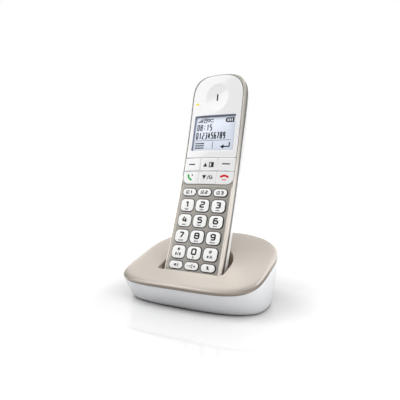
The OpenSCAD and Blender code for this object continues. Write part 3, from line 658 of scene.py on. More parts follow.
def digit(char, x, v, w, h, width):
    """Polygons of a plain digit centred at (x, v)."""
    out = []
    iw, ih = w - width, h - width
    for points, closed in DIGITS[char]:
        moved = [(x + (a - 0.5) * iw, v + (b - 0.5) * ih) for a, b in points]
        out += stroke(moved, width, closed, r=0.24 * w)
    return out


def numbers(text, x, v, w, h, pitch, width):
    out = []
    for k, char in enumerate(text):
        cx = x + pitch * k
        if char == ":":
            out += [block(cx, v + 0.2 * h, width, width), block(cx, v - 0.2 * h, width, width)]
        else:
            out += digit(char, cx, v, w, h, width)
    return out


def bow(x, v, r, a0, a1, width):
    """Drawn arc, or a drawn circle where it goes all the way round."""
    return stroke(arc(x, v, r, a0, a1), width, closed=a1 - a0 == 360)


def star(x, v, r, width):
    out = []
    for k in range(3):
        t = math.radians(90 + 60 * k)
        dx, dy = r * math.cos(t), r * math.sin(t)
        out += stroke([(x - dx, v - dy), (x + dx, v + dy)], width)
    return out


def hash_mark(x, v, w, h, width):
    out = []
    for sx in (-1, 1):
        mid = x + sx * 0.22 * w
        out += stroke([(mid - 0.1 * w, v - h / 2), (mid + 0.1 * w, v + h / 2)], width)
        out += stroke([(x - w / 2, v + sx * 0.19 * h), (x + w / 2, v + sx * 0.19 * h)], width)
    return out


def handset_icon(x, v, length, turn):
    """Telephone receiver seen from the side: a curved grip with two ends."""
    grip = stroke(arc(0, -0.62 * length, 0.8 * length, 128, 52, 12), 0.30 * length)
    ends = []
    for sx in (-1, 1):
        ends.append([(sx * 0.5 * length + a, 0.02 * length + b) for a, b in
                     rounded(0.32 * length, 0.34 * length, 0.1 * length, steps=3)])
    c, s = cosd(turn), sind(turn)
    return [[(x + a * c - b * s, v + a * s + b * c) for a, b in poly] for poly in grip + ends]


SUNK = 0.03  # how far the ink goes into the surface


def print_on(build, polygons, place, kind, rise=0.045, longest=1.0):
    """Thin ink on a surface: place(x, v, rise) gives a point that far in front of it."""
    build.kind = kind
    for poly in polygons:
        poly = dense(poly, longest)
        doubled = sum(poly[i - 1][0] * poly[i][1] - poly[i][0] * poly[i - 1][1] for i in range(len(poly)))
        if doubled < 0:
            poly = poly[::-1]
        top = build.ring([place(x, v, rise) for x, v in poly])
        low = build.ring([place(x, v, -SUNK) for x, v in poly])
        build.band(low, top)
        for tri in tessellate_polygon([[Vector((x, v, 0)) for x, v in poly]]):
            build.face([top[i] for i in tri])
            build.face([low[i] for i in reversed(tri)])
    build.kind = 0


# ---------- push keys ----------
DIGIT_KEY, SLIM_KEY = (digit_w, digit_h, digit_r), (slim_w, slim_h, slim_r)
BIG = (4.9, 5.7, 1.28)  # width, height and stroke of the digits on the keys
# the last of these kinds is painted shade on a key's flange, side wall and the start of its rounded edge
INK, PALE, GAP_SHADE = 1, 2, 3  # kinds of a push key's faces; 0 is the key itself


def push_key(name, col, s, size, signs, pale=()):
    """Domed key with rounded edges, its flange behind the plate, and its printed signs."""
    w, h, r = size
    lift = crown_top if col == 0 else 0.0
    put = at(s)

    def dome(x, v):
        return key_dome - key_proud - math.sqrt(key_dome ** 2 - x * x - v * v) - lift

    def place(x, v, b):
        return put(key_pitch * col + x, b, v)

    build = Build()
    build.kind = GAP_SHADE
    loop = dense(rounded(w, h, r, steps=8), 1.0)
    wide = rounded(w + 2 * flange_w, h + 2 * flange_w, r + 0.4, steps=8)
    low, mid = flange_b + flange_t - lift, flange_b - lift
    bottom = build.ring([place(x, v, low) for x, v in wide])
    build.face(bottom)
    shelf = build.ring([place(x, v, mid) for x, v in wide])
    build.band(bottom, shelf)
    last = build.ring([place(x, v, mid) for x, v in loop])
    build.fill([(wide, shelf), (loop, last)], lambda x, v: place(x, v, mid), 0)
    for k, (o, drop) in enumerate(edge_round(key_edge, 4)):
        moved = inset(loop, o)
        ids = build.ring([place(x, v, dome(x, v) + drop) for x, v in moved])
        # painted shade on the key's side wall and the start of its rounding
        build.kind = GAP_SHADE if k < 3 else 0
        build.band(last, ids)
        last = ids
    build.fill([(moved, last)], lambda x, v: place(x, v, dome(x, v)), 1.3)
    for kind, polygons in ((INK, signs), (PALE, pale)):
        print_on(build, polygons, lambda x, v, d: place(x, v, dome(x, v) - d), kind)
    add(name + "_moulded", build.mesh(name), name, "key_white key_ink key_ink_light key_gap_shade",
        [name])


def bars_below(n):
    """Row of short bars under a digit."""
    return [block((k - (n - 1) / 2) * 1.2, -3.75, 0.85, 1.0) for k in range(n)]


# signs under the 1, and on the memory and the lowest keys
tape = (bow(-0.95, -3.5, 0.55, 0, 360, 0.35) + bow(0.95, -3.5, 0.55, 0, 360, 0.35)
        + [block(0, -4.05, 1.9, 0.35)])
for n in range(1, 10):
    col, row = (n - 1) % 3, 3 - (n - 1) // 3
    push_key("digit_key_%d" % n, col - 1, s_star + row_pitch * row, DIGIT_KEY,
             digit(str(n), 0, 0.75, *BIG) + (tape if n == 1 else []),
             () if n == 1 else bars_below(4 if n in (7, 9) else 3))
push_key("star_key", -1, s_star, DIGIT_KEY,
         star(0, 2.2, 1.35, 0.62) + [block(sx * 1.9, -1.9, 1.2, 2.4) for sx in (-1, 1)]
         + stroke([(-0.5, -3.0), (0.5, -0.8)], 0.6))
push_key("digit_key_0", 0, s_star, DIGIT_KEY,
         digit("0", 0, 0.95, *BIG) + [disc(0, -3.2, 0.5), block(0, -4.2, 1.7, 0.6)])
push_key("hash_key", 1, s_star, DIGIT_KEY,
         hash_mark(0, 2.1, 2.6, 2.8, 0.5) + [block(-1.6, -2.0, 1.5, 1.6)]
         + stroke([(0.2, -3.0), (1.2, -0.9), (2.2, -3.0)], 0.6) + [block(1.2, -2.4, 1.3, 0.5)])
card = stroke([(-3.0, -1.3), (-0.5, -1.3), (-0.5, 1.3), (-2.3, 1.3), (-3.0, 0.6)], 0.55, closed=True)
for k in range(3):
    push_key("memory_key_%d" % (k + 1), k - 1, s_memory, SLIM_KEY,
             card + [block(-1.75, -0.2, 0.9, 1.0)] + digit(str(k + 1), 1.9, 0, 2.7, 3.1, 0.72))
speaker = [[(-1.7, -0.6), (-0.9, -0.6), (0.3, -1.5), (0.3, 1.5), (-0.9, 0.6), (-1.7, 0.6)]] \
    + bow(0.2, 0, 1.2, -42, 42, 0.4) + bow(0.2, 0, 2.1, -42, 42, 0.4)
volume = [block(-3.0, 0, 1.5, 0.45)] + stroke([(-1.5, 0), (0.9, -1.4), (0.9, 1.4)], 0.42, closed=True) \
    + [block(2.9, 0, 1.7, 0.5), block(2.9, 0, 0.5, 1.7)]
mute = [rounded(1.2, 2.4, 0.55, 0, 0.5, steps=3)] + bow(0, 0.3, 1.2, 200, 340, 0.35) \
    + [block(0, -1.35, 0.4, 0.8)] + stroke([(-1.3, 1.7), (1.6, -1.6)], 0.42)
for k, (name, icon) in enumerate((("speaker_key", speaker), ("volume_key", volume), ("mute_key", mute))):
    push_key(name, k - 1, 0, SLIM_KEY, icon)


# ---------- navigation keys ----------
GREEN, RED, SEAM_SHADE = 2, 3, 4  # further kinds beside INK


def clip(loop, x0, x1, v0, v1):
    """The convex loop cut to a rectangle."""
    for axis, limit, sign in ((0, x0, 1), (0, x1, -1), (1, v0, 1), (1, v1, -1)):
        out = []
        for k, p in enumerate(loop):
            q = loop[(k + 1) % len(loop)]
            inp, inq = sign * (p[axis] - limit) >= 0, sign * (q[axis] - limit) >= 0
            if inp:
                out.append(p)
            if inp != inq:
                t = (limit - p[axis]) / (q[axis] - p[axis])
                out.append((p[0] + (q[0] - p[0]) * t, p[1] + (q[1] - p[1]) * t))
        loop = out
    return [p for k, p in enumerate(loop) if math.dist(p, loop[k - 1]) > 1e-4]


def nav_key(name, col, upper, marks):
    """One of the six keys that share a field with rounded lower corners; flat underneath."""
    field = rounded(2 * (panel_w - fit), 40, nav_r, 0, s_nav + 20, steps=12)
    x0, x1 = ((-half_w, -nav_div - fit), (fit - nav_div, nav_div - fit), (nav_div + fit, half_w))[col + 1]
    v0, v1 = (s_nav_mid + fit, s_panel - nav_panel_gap) if upper else (s_nav - 1, s_nav_mid - fit)
    shape = clip(field, x0, x1, v0, v1)
    build = Build()
    sheet(build, [dense(shape, 1.6)], [edge_round(0.3, 3)], flat(0.0),
          lambda x, v: nav_t - crown(x), 1.8)
    stem = dense(inset(shape, nav_foot_in), 2.0)
    low = build.ring([on_face(x, v, nav_foot_b) for x, v in stem])
    top = build.ring([on_face(x, v, nav_t - 0.05 - crown(x)) for x, v in stem])
    build.band(low, top)
    build.fill([(stem, low)], lambda x, v: on_face(x, v, nav_foot_b), 0)
    for kind, polygons in marks:
        print_on(build, polygons, lambda x, v, d: on_face(x, v, -d), kind, rise=0.03, longest=2.0)
    add(name + "_moulded", build.mesh(name), name, "white_gloss key_ink ink_green ink_red seam_grey",
        [name])


def seam_mark(x, w):
    """Grey line between the two rows of keys: painted shade along the upper keys' lower edge."""
    return (SEAM_SHADE, [block(x, 83.55, w, 0.5)])


nav_key("soft_key_left", -1, True, [(INK, [block(-16.8, 89.6, 6.0, 1.1)]), seam_mark(-13.9, 11.0)])
book = stroke([(0.5, 87.2), (4.2, 87.2), (4.2, 91.0), (0.5, 91.0)], 0.8, closed=True)
nav_key("up_key", 0, True, [(INK, [[(-5.4, 87.3), (-1.4, 87.3), (-3.4, 91.0)]] + book
                             + [block(3.2, 89.1, 2.2, 3.4)]), seam_mark(0, 16.0)])
nav_key("soft_key_right", 1, True, [(INK, [block(15.8, 89.9, 7.0, 1.1)]), seam_mark(13.9, 11.0)])
nav_key("talk_key", -1, False, [(GREEN, handset_icon(-17.1, 77.6, 5.3, 126)),
                                (INK, [disc(-14.9, 79.7, 0.75)])])
loop_arrow = bow(3.3, 77.7, 1.35, 60, 330, 0.8) + [[(3.6, 76.0), (5.6, 77.0), (4.0, 78.5)]]
nav_key("down_key", 0, False, [(INK, [[(-5.0, 79.6), (-0.9, 79.6), (-2.95, 75.7)]]
                                + stroke([(0.1, 75.6), (1.2, 79.6)], 0.6) + loop_arrow)])
nav_key("end_key", 1, False, [(RED, handset_icon(15.8, 78.2, 5.9, 0) + [block(15.8, 75.6, 3.8, 0.8)])])


# ---------- handset: front frame ----------
# its section, as (inset, depth): lip, rounded front, side down to the split, and back inside
section = curve_through([(1.56, 0.86), (0.9, 0.78), (0.45, 1.05), (0.12, 1.8), (0, 3)], 3)
section += [(0, 3.8), (0, 4.6), (0, 5.6), (0.04, 6.6), (0.12, 7.5), (0.2, 7.85), (0.32, 8.0),
            (1.9, 8.0), (1.9, 3.3), (3.1, 3.3), (3.1, 2.42), (1.56, 2.42)]
# where the painted shade on the frame's side, top and lip starts and how far it fades
side_b, side_fade = 2.9, 1.5
top_z, top_fade, top_shade = 90, 60, 0.45
lip_z, lip_fade, lip_rings = 98, 4, 2
boss_top_b, bore_b = 3.2, 5.4
build = Build()
ids = []
for o, d in section:
    build.tint = smooth((d - side_b) / side_fade)
    ids.append(build.ring([on_hand(x, s, d + (split_at(s) - split_b if d > 4 else 0))
                           for x, s in outline(o, p=top_p + top_flare * smooth(d / 3))]))
build.tint = 0.0
for k in range(len(ids)):
    build.band(ids[k - 1], ids[k])
# painted shade on the side, a little towards the top, and on the lip beside the front panel
lip = lip_rings * len(ids[0])
build.tints = [max(tint, top_shade * smooth((z - top_z) / top_fade),
                   smooth((z - lip_z) / lip_fade) if i < lip else 0)
               for i, (tint, (x, y, z)) in enumerate(zip(build.tints, build.verts))]
for x, s in hand_screws:
    put = at(s)
    build.turned(put, x, 0, ((boss_r, boss_top_b), (boss_r, boss_b), (boss_bore, boss_b),
                             (boss_bore, bore_b)))
    rib = x + math.copysign(2, x)
    build.box(put, rib - 2, rib + 2, boss_top_b, 7.5, -1.2, 1.2)
add("front_frame_lacquered", build.mesh("front_frame"), "handset", "frame_lacquer", ["handset_front_frame"])

# ---------- handset: keypad plate ----------
# its upper edge follows the rounded lower corners of the navigation keys
side = panel_inset + 0.1
full = outline(side)
field_r, field_w, low_edge = nav_r + 0.15, panel_w - fit + 0.15, s_nav - 0.15
ear_tip = s_nav + 4.2
right = [p for p in full if p[0] >= 0 and p[1] < s_nav + 4.0] + [(half_w - side, ear_tip)]
start_t = math.asin((ear_tip - low_edge - field_r) / field_r)
corner = [(field_w - field_r + field_r * math.cos(t), low_edge + field_r + field_r * math.sin(t))
          for t in np.linspace(start_t, -math.pi / 2, 12)]
straight = [(x, low_edge) for x in (15.0, 12.5, 10.0, 7.5, 5.0, 2.5, 0.0)]
plate_loop = mirrored(right + corner + straight)


def key_hole(size, col, s):
    w, h, r = size
    return rounded(w + 2 * key_gap, h + 2 * key_gap, r + key_gap, key_pitch * col, s)


rows = [(DIGIT_KEY, s_star + row_pitch * r) for r in range(4)] + [(SLIM_KEY, s) for s in (0, s_memory)]
holes = [key_hole(size, col, s) for size, s in rows for col in (-1, 0, 1)]
holes = [h[::-1] for h in holes + [disc(0, s_mic, 0.5, 14)]]
rolled = [(0, 0.85), (0.25, 0.62), (0.6, 0.38), (1.0, 0.18), (1.4, 0.05), (1.8, 0)]
build = Build()
sheet(build, [plate_loop] + holes,
      [rolled] + [edge_round(0.3, 3)] * (len(holes) - 1) + [edge_round(0.1, 1)],
      flat(0.0), flat(plate_t), 2.2, wall_kinds=[0] + [1] * len(holes))
# painted highlight on the rolled border, but not under the navigation keys
highlight_in, highlight_fade, round_len = 0.35, 0.9, len(plate_loop)
for i in range(round_len * (len(rolled) + 1)):
    o = rolled[max(0, i // round_len - 1)][0]
    if plate_loop[i % round_len][1] < low_edge - 0.5:
        build.tints[i] = 1 - smooth((o - highlight_in) / highlight_fade)
add("keypad_plate_lacquered", build.mesh("keypad_plate"), "handset", "plate_lacquer key_gap_shade",
    ["keypad_plate"])

# ---------- handset: front panel with its dished earpiece ----------
dish_r = (ear_r ** 2 + ear_depth ** 2) / (2 * ear_depth)
dish_w, dish_h = 10.62, 12.63  # half axes of the dish's rim on the crowned face
DISH_RINGS = (0.25, 0.45, 0.62, 0.76, 0.87, 0.94, 0.975, 1.0, 1.025, 1.06, 1.12)


def panel_top(x, s):
    """Depth of the panel's surface: a ball-shaped dish whose rim is softened over w."""
    v = s - s_ear
    rho = x * x + v * v
    if rho > 20 ** 2:
        return 0.0
    f = ear_depth - dish_r + math.sqrt(dish_r ** 2 - rho) + v * v / (2 * face_r) - x * x / (2 * crown_r)
    w = 0.05
    if f > w:
        return f
    if f < -w:
        return 0.0
    return (f + w) ** 2 / (4 * w)


def panel_low(x, s):
    """Depth of the panel's underside, which steps back behind the dish."""
    return plate_t + (ear_depth + 0.1 if x * x + (s - s_ear) ** 2 < ear_back_r ** 2 else 0.0)


right = [p for p in full if p[0] >= 0 and p[1] > s_panel + 2.0]
straight = [(x, s_panel) for x in (0.0, 4.0, 8.0, 12.0, 16.0, 20.0, 22.5, half_w - side)]
panel_loop = mirrored(straight + [(half_w - side, s_panel + 1.2)] + right)
window_hole = dense(rounded(2 * win_w, s_win_top - s_win_low, 0.9, 0, s_disp_mid, steps=5), 2.2)[::-1]
light_hole = rounded(3.4, 1.7, 0.8, -light_x, s_light, steps=5)[::-1]
slit_hole = dense(rounded(slit_w + 0.2, slit_l + 0.1, 0.55, 0, s_ear, steps=5), 0.8)[::-1]
extra = []
for k in DISH_RINGS:
    extra += [(dish_w * k * a, s_ear + dish_h * k * b) for a, b in disc(0, 0, 1, max(10, round(72 * k)))]
build = Build()
sheet(build, [panel_loop, window_hole, light_hole, slit_hole],
      [edge_round(0.55, 5), edge_round(0.18, 2), edge_round(0.1, 1), edge_round(0.12, 2)],
      panel_top, panel_low, 1.5, extra, wall_kinds=[2, 1, 0, 0])
# painted shade at the outer corners of its edge
for i, (x, y, z) in enumerate(build.verts[:4 * len(panel_loop)]):
    build.tints[i] = smooth((abs(x) - 20) / 3)
add("front_panel_moulded", build.mesh("front_panel"), "handset", "white_gloss window_bezel groove_shade",
    ["front_panel"])

build = Build()
sheet(build, [dense(rounded(slit_w + 0.16, slit_l + 0.06, 0.53, 0, s_ear, steps=5), 0.8)],
      [edge_round(0.05, 1)], flat(ear_depth + 0.30), flat(ear_depth + 1.3), 0.6)
add("earpiece_felt", build.mesh("earpiece_felt"), "handset", "speaker_felt", ())

# ---------- handset: display window, and the display with its printed segments ----------
build = Build()
pane = rounded(2 * win_w - 2 * fit, s_win_top - s_win_low - 2 * fit, 0.8, 0, s_disp_mid, steps=5)
sheet(build, [dense(pane, 2.2)], [edge_round(0.12, 2)], flat(0.5), flat(plate_t), 2.5)
add("display_window_clear", build.mesh("display_window"), "handset", "window_glass", ["display_window"])

put = at(s_disp_mid)
lcd_b, lcd_w, lcd_h, lcd_t = plate_t + 0.62, 21, 18.7, 2.6
lcd_x, lcd_v = -1.0, 0.8  # middle of the printed picture
build = Build()
build.box(put, -lcd_w, lcd_w, lcd_b, lcd_b + lcd_t, -lcd_h, lcd_h)
# top row: signal bars, letter, clock, receiver, battery
marks = []
for k in range(5):
    tall = 0.9 + 0.75 * k
    marks.append(block(-16.0 + 1.05 * k, 10.0 + tall / 2, 0.85, tall))
marks += stroke([(-10.2, 9.9), (-7.8, 9.9), (-7.8, 13.6), (-10.2, 13.6)], 0.75, closed=True)
marks += stroke([(-10.2, 13.4), (-9.0, 11.8), (-7.8, 13.4)], 0.6)
marks += bow(-5.6, 11.9, 1.3, 0, 360, 0.8) + stroke([(-5.6, 12.7), (-5.6, 11.8), (-5.0, 11.4)], 0.5)
marks += bow(-2.4, 11.8, 1.2, 20, 160, 0.8) + [block(-2.4, 10.4, 2.8, 0.8)]
marks.append([(12.0, 9.1), (18.9, 9.1), (18.9, 13.8), (12.0, 13.8), (10.6, 12.6), (10.6, 10.3)])
bars = [block(12.9 + 1.95 * k, 11.45, 0.95, 2.0) for k in range(3)]
# time, a row of digits, two dividing lines, menu mark and return arrow
marks += numbers("08:15", -15.4, 5.1, 2.6, 6.2, 3.1, 1.05)
marks += numbers("0123456789", -15.6, -2.7, 2.35, 6.5, 2.92, 1.02)
marks += [block(0.6, -7.15, 34.2, 0.38), block(0.5, -11.7, 0.55, 6.4)]
marks += [block(-12.2, -9.9 - 2.1 * k, 8.8, 1.05) for k in range(3)]
marks += stroke([(16.6, -9.4), (16.6, -13.2), (10.4, -13.2)], 1.1)
marks += [[(8.0, -13.2), (11.4, -15.3), (11.4, -11.1)]]
# painted shade along the left and the upper side of the window
window_shade_w, window_h = 1.1, s_win_top - s_win_low
border = [block(-win_w + 0.05, 0, window_shade_w, window_h), block(0, window_h / 2 - 0.05, 2 * win_w, window_shade_w)]
for polygons, x0, v0, kind, rise in ((marks, lcd_x, lcd_v, 1, 0.02), (bars, lcd_x, lcd_v, 0, 0.03),
                                     (border, 0, 0, 2, 0.03)):
    print_on(build, polygons, lambda x, v, d: put(x + x0, lcd_b - d, v + v0), kind, rise, longest=50)
add("display_cell", build.mesh("display_cell"), "handset", "lcd_pale_blue lcd_segments window_bezel",
    ["display_module"])


# ---------- handset: back shell and battery door ----------
def back_depth(u, wall, s):
    b0 = split_at(s) + 0.05
    return b0 + u * (thick(s) - wall - b0)


def back_ring(u, wall):
    w = (half_w - 0.3) * (1 - u ** back_bulge) ** (1 / back_bulge)
    return [on_hand(x, s, back_depth(u, wall, s))
            for x, s in outline(half_w - w + wall, 0.5, 0.35, top_p + top_flare)]


def skin(name):
    """The whole back, outside and inside; the shell and the door are both cut from it."""
    outer = [0, 0.1, 0.2, 0.3, 0.4, 0.5, 0.59, 0.67, 0.74, 0.8, 0.85, 0.89, 0.925, 0.95, 0.97, 0.985]
    inner = [0, 0.2, 0.4, 0.58, 0.72, 0.82, 0.9, 0.965]
    build = Build()
    ids = build.tube([back_ring(u, 0) for u in reversed(outer)]
                     + [back_ring(u, shell_wall) for u in inner])
    build.ladder(ids[0])
    build.ladder(ids[-1])
    return build.mesh(name)


shell = add("back_shell_moulded", skin("back_shell"), "handset", "shell_white", ["handset_back_shell"])
cut = Build()
door_hole = rounded(2 * door_w + 2 * key_gap, 2 * door_h + 2 * key_gap, door_r + key_gap)
cut.prism(at(s_bay), door_hole, 14, hand_t + 4)
for x, s in hand_screws:
    cut.prism(at(s), disc(x, 0, screw_head_r, 28), 5, hand_t + 2)
ringer_holes = [(0.0, 0.0)] + [(ringer_ring * cosd(60 * i),
                                ringer_ring * sind(60 * i)) for i in range(1, 7)]
for x, v in ringer_holes:
    cut.prism(at(s_ringer), disc(x, v, ringer_hole, 18), 16, 30)
for sx in (-1, 1):
    cut.box(at(s_bottom), sx * pin_x - pocket_w, sx * pin_x + pocket_w, pin_b - pocket_h,
            pin_b + pocket_h, -1, pocket_t)
carve(shell, cut.mesh("shell_cutter"))

door = add("battery_door_moulded", skin("battery_door"), "battery_door", "shell_white", ["battery_door"])
cut = Build()
cut.prism(at(s_bay), rounded(2 * door_w, 2 * door_h, door_r), 14, hand_t + 4)
carve(door, cut.mesh("door_cutter"), "INTERSECT")


# ---------- base ----------
def egg(w, y, front, back, pf, pb):
    """Half outline from the front to the back, rounder or squarer by its powers."""
    ts = [90 * (i / 40) ** 2.2 for i in range(41)]
    ts += [180 - 90 * ((30 - i) / 30) ** 1.5 for i in range(1, 31)]
    out = []
    for t in ts:
        a = math.radians(t)
        p = pf if t < 90 else pb
        c = -front if t < 90 else back
        out.append((w * max(0.0, math.sin(a)) ** (2 / p), y + c * abs(math.cos(a)) ** (2 / p)))
    out[0], out[-1] = (0.0, out[0][1]), (0.0, out[-1][1])
    return out


def rim(o):
    return mirrored(egg(rim_w - o, rim_y, rim_front - o, rim_back - o, front_p, back_p))


def foot(o):
    return mirrored(egg(foot_w - o, foot_y, foot_front - o, foot_back - o, foot_p, foot_back_p))


def seam_at(y):
    return seam_z + seam_rise * y


def cover_at(x, y):
    return cover_z + cover_rise * y - cover_drop * x * x / rim_w ** 2


def above_seam(o, up):
    return [(x, y, seam_at(y) + seat / 2 + up) for x, y in rim(o)]


def below_top(loop, down):
    return [(x, y, cover_at(x, y) - down) for x, y in loop]


def upright(x, z, y):
    """Place for prisms and turned solids that stand on the base's floor."""
    return (x, y, z)


slot_corner = [(slot_r * sind(t), slot_r * cosd(t))
               for t in range(0, 91, 10)]
slot = [(slot_w - slot_r + a, slot_front + slot_r - b) for a, b in slot_corner]
slot += [(slot_w * cosd(t), slot_mid + slot_arc * sind(t))
         for t in range(0, 181, 4)]
slot += [(-slot_w + slot_r - a, slot_front + slot_r - b) for a, b in reversed(slot_corner)]
slot = dense(slot, 2.5)[::-1]

build = Build()
rings = [above_seam(0, 0), above_seam(-0.14, 0.12), above_seam(-0.19, 0.6)]
for f in (0.25, 0.5, 0.75):
    rings.append([(x, y, (seam_at(y) + 0.6) * (1 - f) + (cover_at(x, y) - 2.2) * f)
                  for x, y in rim(-0.19 * (1 - f))])
edge = curve_through([(0.0, 2.95), (0.1, 2.2), (1.3, 1.2), (3.4, 0.5), (6, 0.15), (9.5, 0)], 4)[4:]
rings += [below_top(rim(o), d) for o, d in edge]
ids = build.tube(rings)
under_slot = build.ring(below_top(slot, cover_wall))
last, moved = under_slot, slot
for o, drop in edge_round(0.8, 5):
    moved = inset(slot, o)
    last = build.tube([below_top(moved, drop)], [last])[-1]
build.fill([([p[:2] for p in rings[-1]], ids[-1]), (moved, last)],
           lambda x, y: (x, y, cover_at(x, y)), 3.0)
inner = [above_seam(cover_wall, 0), above_seam(cover_wall + 0.4, 0.6),
         below_top(rim(5.5), cover_wall + 0.8), below_top(rim(10), cover_wall)]
inner_ids = build.tube(inner, [ids[0]])
build.fill([([p[:2] for p in inner[-1]], inner_ids[-1]), (slot, under_slot)],
           lambda x, y: (x, y, cover_at(x, y) - cover_wall), 6.0)
boss_low = base_floor + seat
for x, y in body_screws:
    build.turned(upright, x, y,
                 ((body_boss_r, cover_at(x, y) - 1.17), (body_boss_r, boss_low),
                  (body_boss_bore, boss_low), (body_boss_bore, base_floor + 9)))
# painted shade round the foot of its wall
shade_up, shade_fade = 1.5, 2.2
build.tints = [1 - smooth((z - seam_at(y) - shade_up) / shade_fade) for x, y, z in build.verts]
add("base_cover_lacquered", build.mesh("base_cover"), "base", "cover_lacquer", ["base_cover"])


def body_ring(o, t, z0):
    """Ring of the body's wall, drawn in by o, at t from the foot (0) to the seam (1)."""
    grow = o - wall_bulge * 4 * t * (1 - t)
    low, high = foot(grow), rim(grow)
    out = []
    for (x0, y0), (x1, y1) in zip(low, high):
        x, y = x0 * (1 - t) + x1 * t, y0 * (1 - t) + y1 * t
        out.append((x, y, z0 * (1 - t) + (seam_at(y) - seat / 2) * t))
    return out


build = Build()
levels = [(1.4, 0), (1.0, 0.008), (0.6, 0.025), (0.3, 0.05), (0.1, 0.085), (0, 0.12), (0, 0.2),
          (0, 0.3), (0, 0.4), (0, 0.5), (0, 0.6), (0, 0.7), (0, 0.8), (0, 0.9), (0.02, 0.975),
          (0.12, 0.993), (0.3, 1.0)]
ids = build.tube([body_ring(o, t, foot_h) for o, t in levels]
                 + [body_ring(body_wall, t, base_floor) for t in (1, 0.8, 0.6, 0.3, 0)])
build.ladder(ids[0])
build.ladder(ids[-1])
body = add("base_body_moulded", build.mesh("base_body"), "base", "base_white", ["base_body"])

cut = Build()
for places, r, z in ((body_screws, screw_seat_r, foot_h + 1),
                     (foot_places, foot_r + 0.05, foot_h + 0.6)):
    for x, y in places:
        cut.turned(upright, x, y, ((r, -2), (r, z)))
socket_z = board_z + 1
for x, w in ((jack_x, jack_w), (line_x, line_w)):
    cut.box(lambda x, y, z: (x, y, z), x - w, x + w, 30, 70, socket_z, socket_z + socket_h + 0.5)
carve(body, cut.mesh("body_cutter"))

# ---------- camera, in metres and degrees, its lens in millimetres ----------
camera_place, look_down, look_left = (0.14281, -0.29871, 0.10754), 4.2938, 26.2452
lens, sensor, clip_near, clip_far = 34.863, 36.0, 0.01, 20.0
camera = new_object("camera", bpy.data.cameras.new("camera"))
camera.location = camera_place
camera.rotation_euler = (math.radians(90 - look_down), 0, math.radians(look_left))
camera.data.lens, camera.data.sensor_width = lens, sensor
camera.data.clip_start, camera.data.clip_end = clip_near, clip_far
scene.camera = camera


# ---------- lights, in metres and watts ----------
def area(name, location, target, size, power, along=(1, 0, 0)):
    """Softbox at location facing target; along is the direction of its first side."""
    data = bpy.data.lights.new(name, "AREA")
    data.shape, data.size, data.size_y = "RECTANGLE", size[0], size[1]
    data.energy = power
    obj = new_object(name, data)
    obj.location = location
    back = (Vector(location) - Vector(target)).normalized()
    first = Vector(along)
    first = (first - back * first.dot(back)).normalized()
    obj.rotation_euler = Matrix((first, back.cross(first), back)).transposed().to_euler()


# the key light leans, so that its lower edge is mirrored as a slanting line in the front panel
key_place, key_back = Vector((-0.4359, -0.2568, 0.6111)), Vector((-0.490, -0.675, 0.552))
area("key_light", key_place, key_place - key_back, (0.64, 0.50), 2.85, along=(0.8178, -0.1367, 0.5592))
area("fill_light", (0.20, -0.47, 1.06), (0, 0, 0.08), (0.7, 0.7), 3.45)
area("right_light", (0.92, -0.30, 0.58), (0, 0, 0.05), (0.6, 0.6), 4.2)
area("side_light", (0.30, -0.02, 0.26), (0.04, 0, 0.03), (0.12, 0.12), 0.12)
area("left_light", (-1.05, -0.10, 0.24), (0, 0, 0.06), (0.7, 0.3), 2.3)
area("rim_light", (0.48, 0.50, 0.84), (0.05, -0.03, 0.03), (0.35, 0.35), 2.0)

# ---------- white world: dim for diffuse light, bright where it is seen or mirrored ----------
ambient_strength = 0.24
dusk_from, dusk_to, dusk_low = 0.36, 0.62, 0.2  # mirrored sky, by the height of its direction
world = bpy.data.worlds.new("studio")
scene.world = world
nt = empty_tree(world)
rays = add_node(nt, "LightPath").outputs
sky = add_node(nt, "TexCoord").outputs["Generated"]
height = add_node(nt, "SeparateXYZ", {0: sky}).outputs["Z"]
dusk = remap(nt, height, dusk_from, dusk_to, 1.0, dusk_low)
ambient = add_node(nt, "Background", {"Color": (1, 1, 1, 1), "Strength": ambient_strength})
white = add_node(nt, "Background", {"Color": (1, 1, 1, 1),
                                    "Strength": greater(nt, dusk, rays["Is Camera Ray"])})
seen = greater(nt, greater(nt, rays["Is Camera Ray"], rays["Is Glossy Ray"]), rays["Is Transmission Ray"])
add_node(nt, "OutputWorld", {"Surface": mixed(nt, seen, ambient.outputs[0], white.outputs[0])})

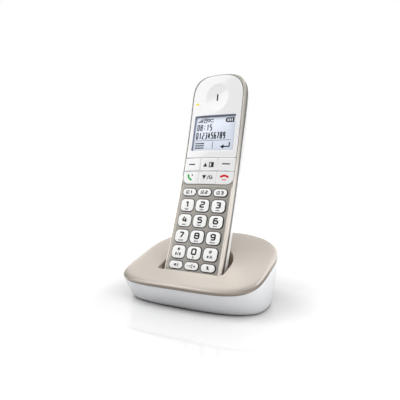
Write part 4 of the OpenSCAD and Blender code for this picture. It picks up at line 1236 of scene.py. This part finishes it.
# ---------- pale glossy floor: painted shade close to the base, fading into the white world ---
floor_half = 6
glow_from, glow_to, glow_high = 0.06, 0.28, 0.72  # by the distance from the middle
spot_x, spot_y = 0.0604, 0.0363  # half axes of the oval of painted shade under the base
spot_edge, spot_end, spot_glow = 1.02, 1.75, 0.16  # by the distance in those half axes
shade_near, shade_far = (0.14, 0.14, 0.14, 1), (0.68, 0.68, 0.68, 1)
pale = bpy.data.materials.new("pale_floor")
nt = empty_tree(pale)
rays = add_node(nt, "LightPath").outputs
here = add_node(nt, "TexCoord").outputs["Object"]
reach = add_node(nt, "VectorMath", {0: here}, operation="LENGTH").outputs["Value"]
brighter = remap(nt, reach, glow_from, glow_to, 0.0, glow_high)
oval = add_node(nt, "VectorMath", {0: here, 1: (1 / spot_x, 1 / spot_y, 0)}, operation="MULTIPLY")
apart = add_node(nt, "VectorMath", {0: oval.outputs[0]}, operation="LENGTH").outputs["Value"]
beyond = remap(nt, apart, spot_edge, spot_end)
strength = add_node(nt, "Math", {0: beyond, 1: spot_glow, 2: brighter}, operation="MULTIPLY_ADD")
glow = add_node(nt, "Emission", {"Strength": strength.outputs[0]}).outputs[0]
dark = add_node(nt, "Emission", {"Strength": 0.0}).outputs[0]
glossy = add_node(nt, "BsdfPrincipled", {"Base Color": (0.70, 0.70, 0.705, 1), "Roughness": 0.06,
                                         "IOR": 1.8}).outputs[0]
# painted shade in the light the floor bounces: darker close to the base
dim = add_node(nt, "BsdfDiffuse", {"Color": blend(nt, beyond, shade_near, shade_far)}).outputs[0]
seen = greater(nt, rays["Is Camera Ray"], rays["Is Glossy Ray"])
total = add_node(nt, "AddShader", {0: mixed(nt, seen, dim, glossy), 1: mixed(nt, seen, dark, glow)})
add_node(nt, "OutputMaterial", {"Surface": total.outputs[0]})

floor_mesh = bpy.data.meshes.new("floor")
bm = bmesh.new()
bm.faces.new([bm.verts.new((floor_half * sx, floor_half * sy, 0))
              for sx, sy in ((-1, -1), (1, -1), (1, 1), (-1, 1))])
bm.to_mesh(floor_mesh)
bm.free()
floor_mesh.materials.append(pale)
floor = new_object("floor", floor_mesh)

scene.view_settings.view_transform = "Standard"
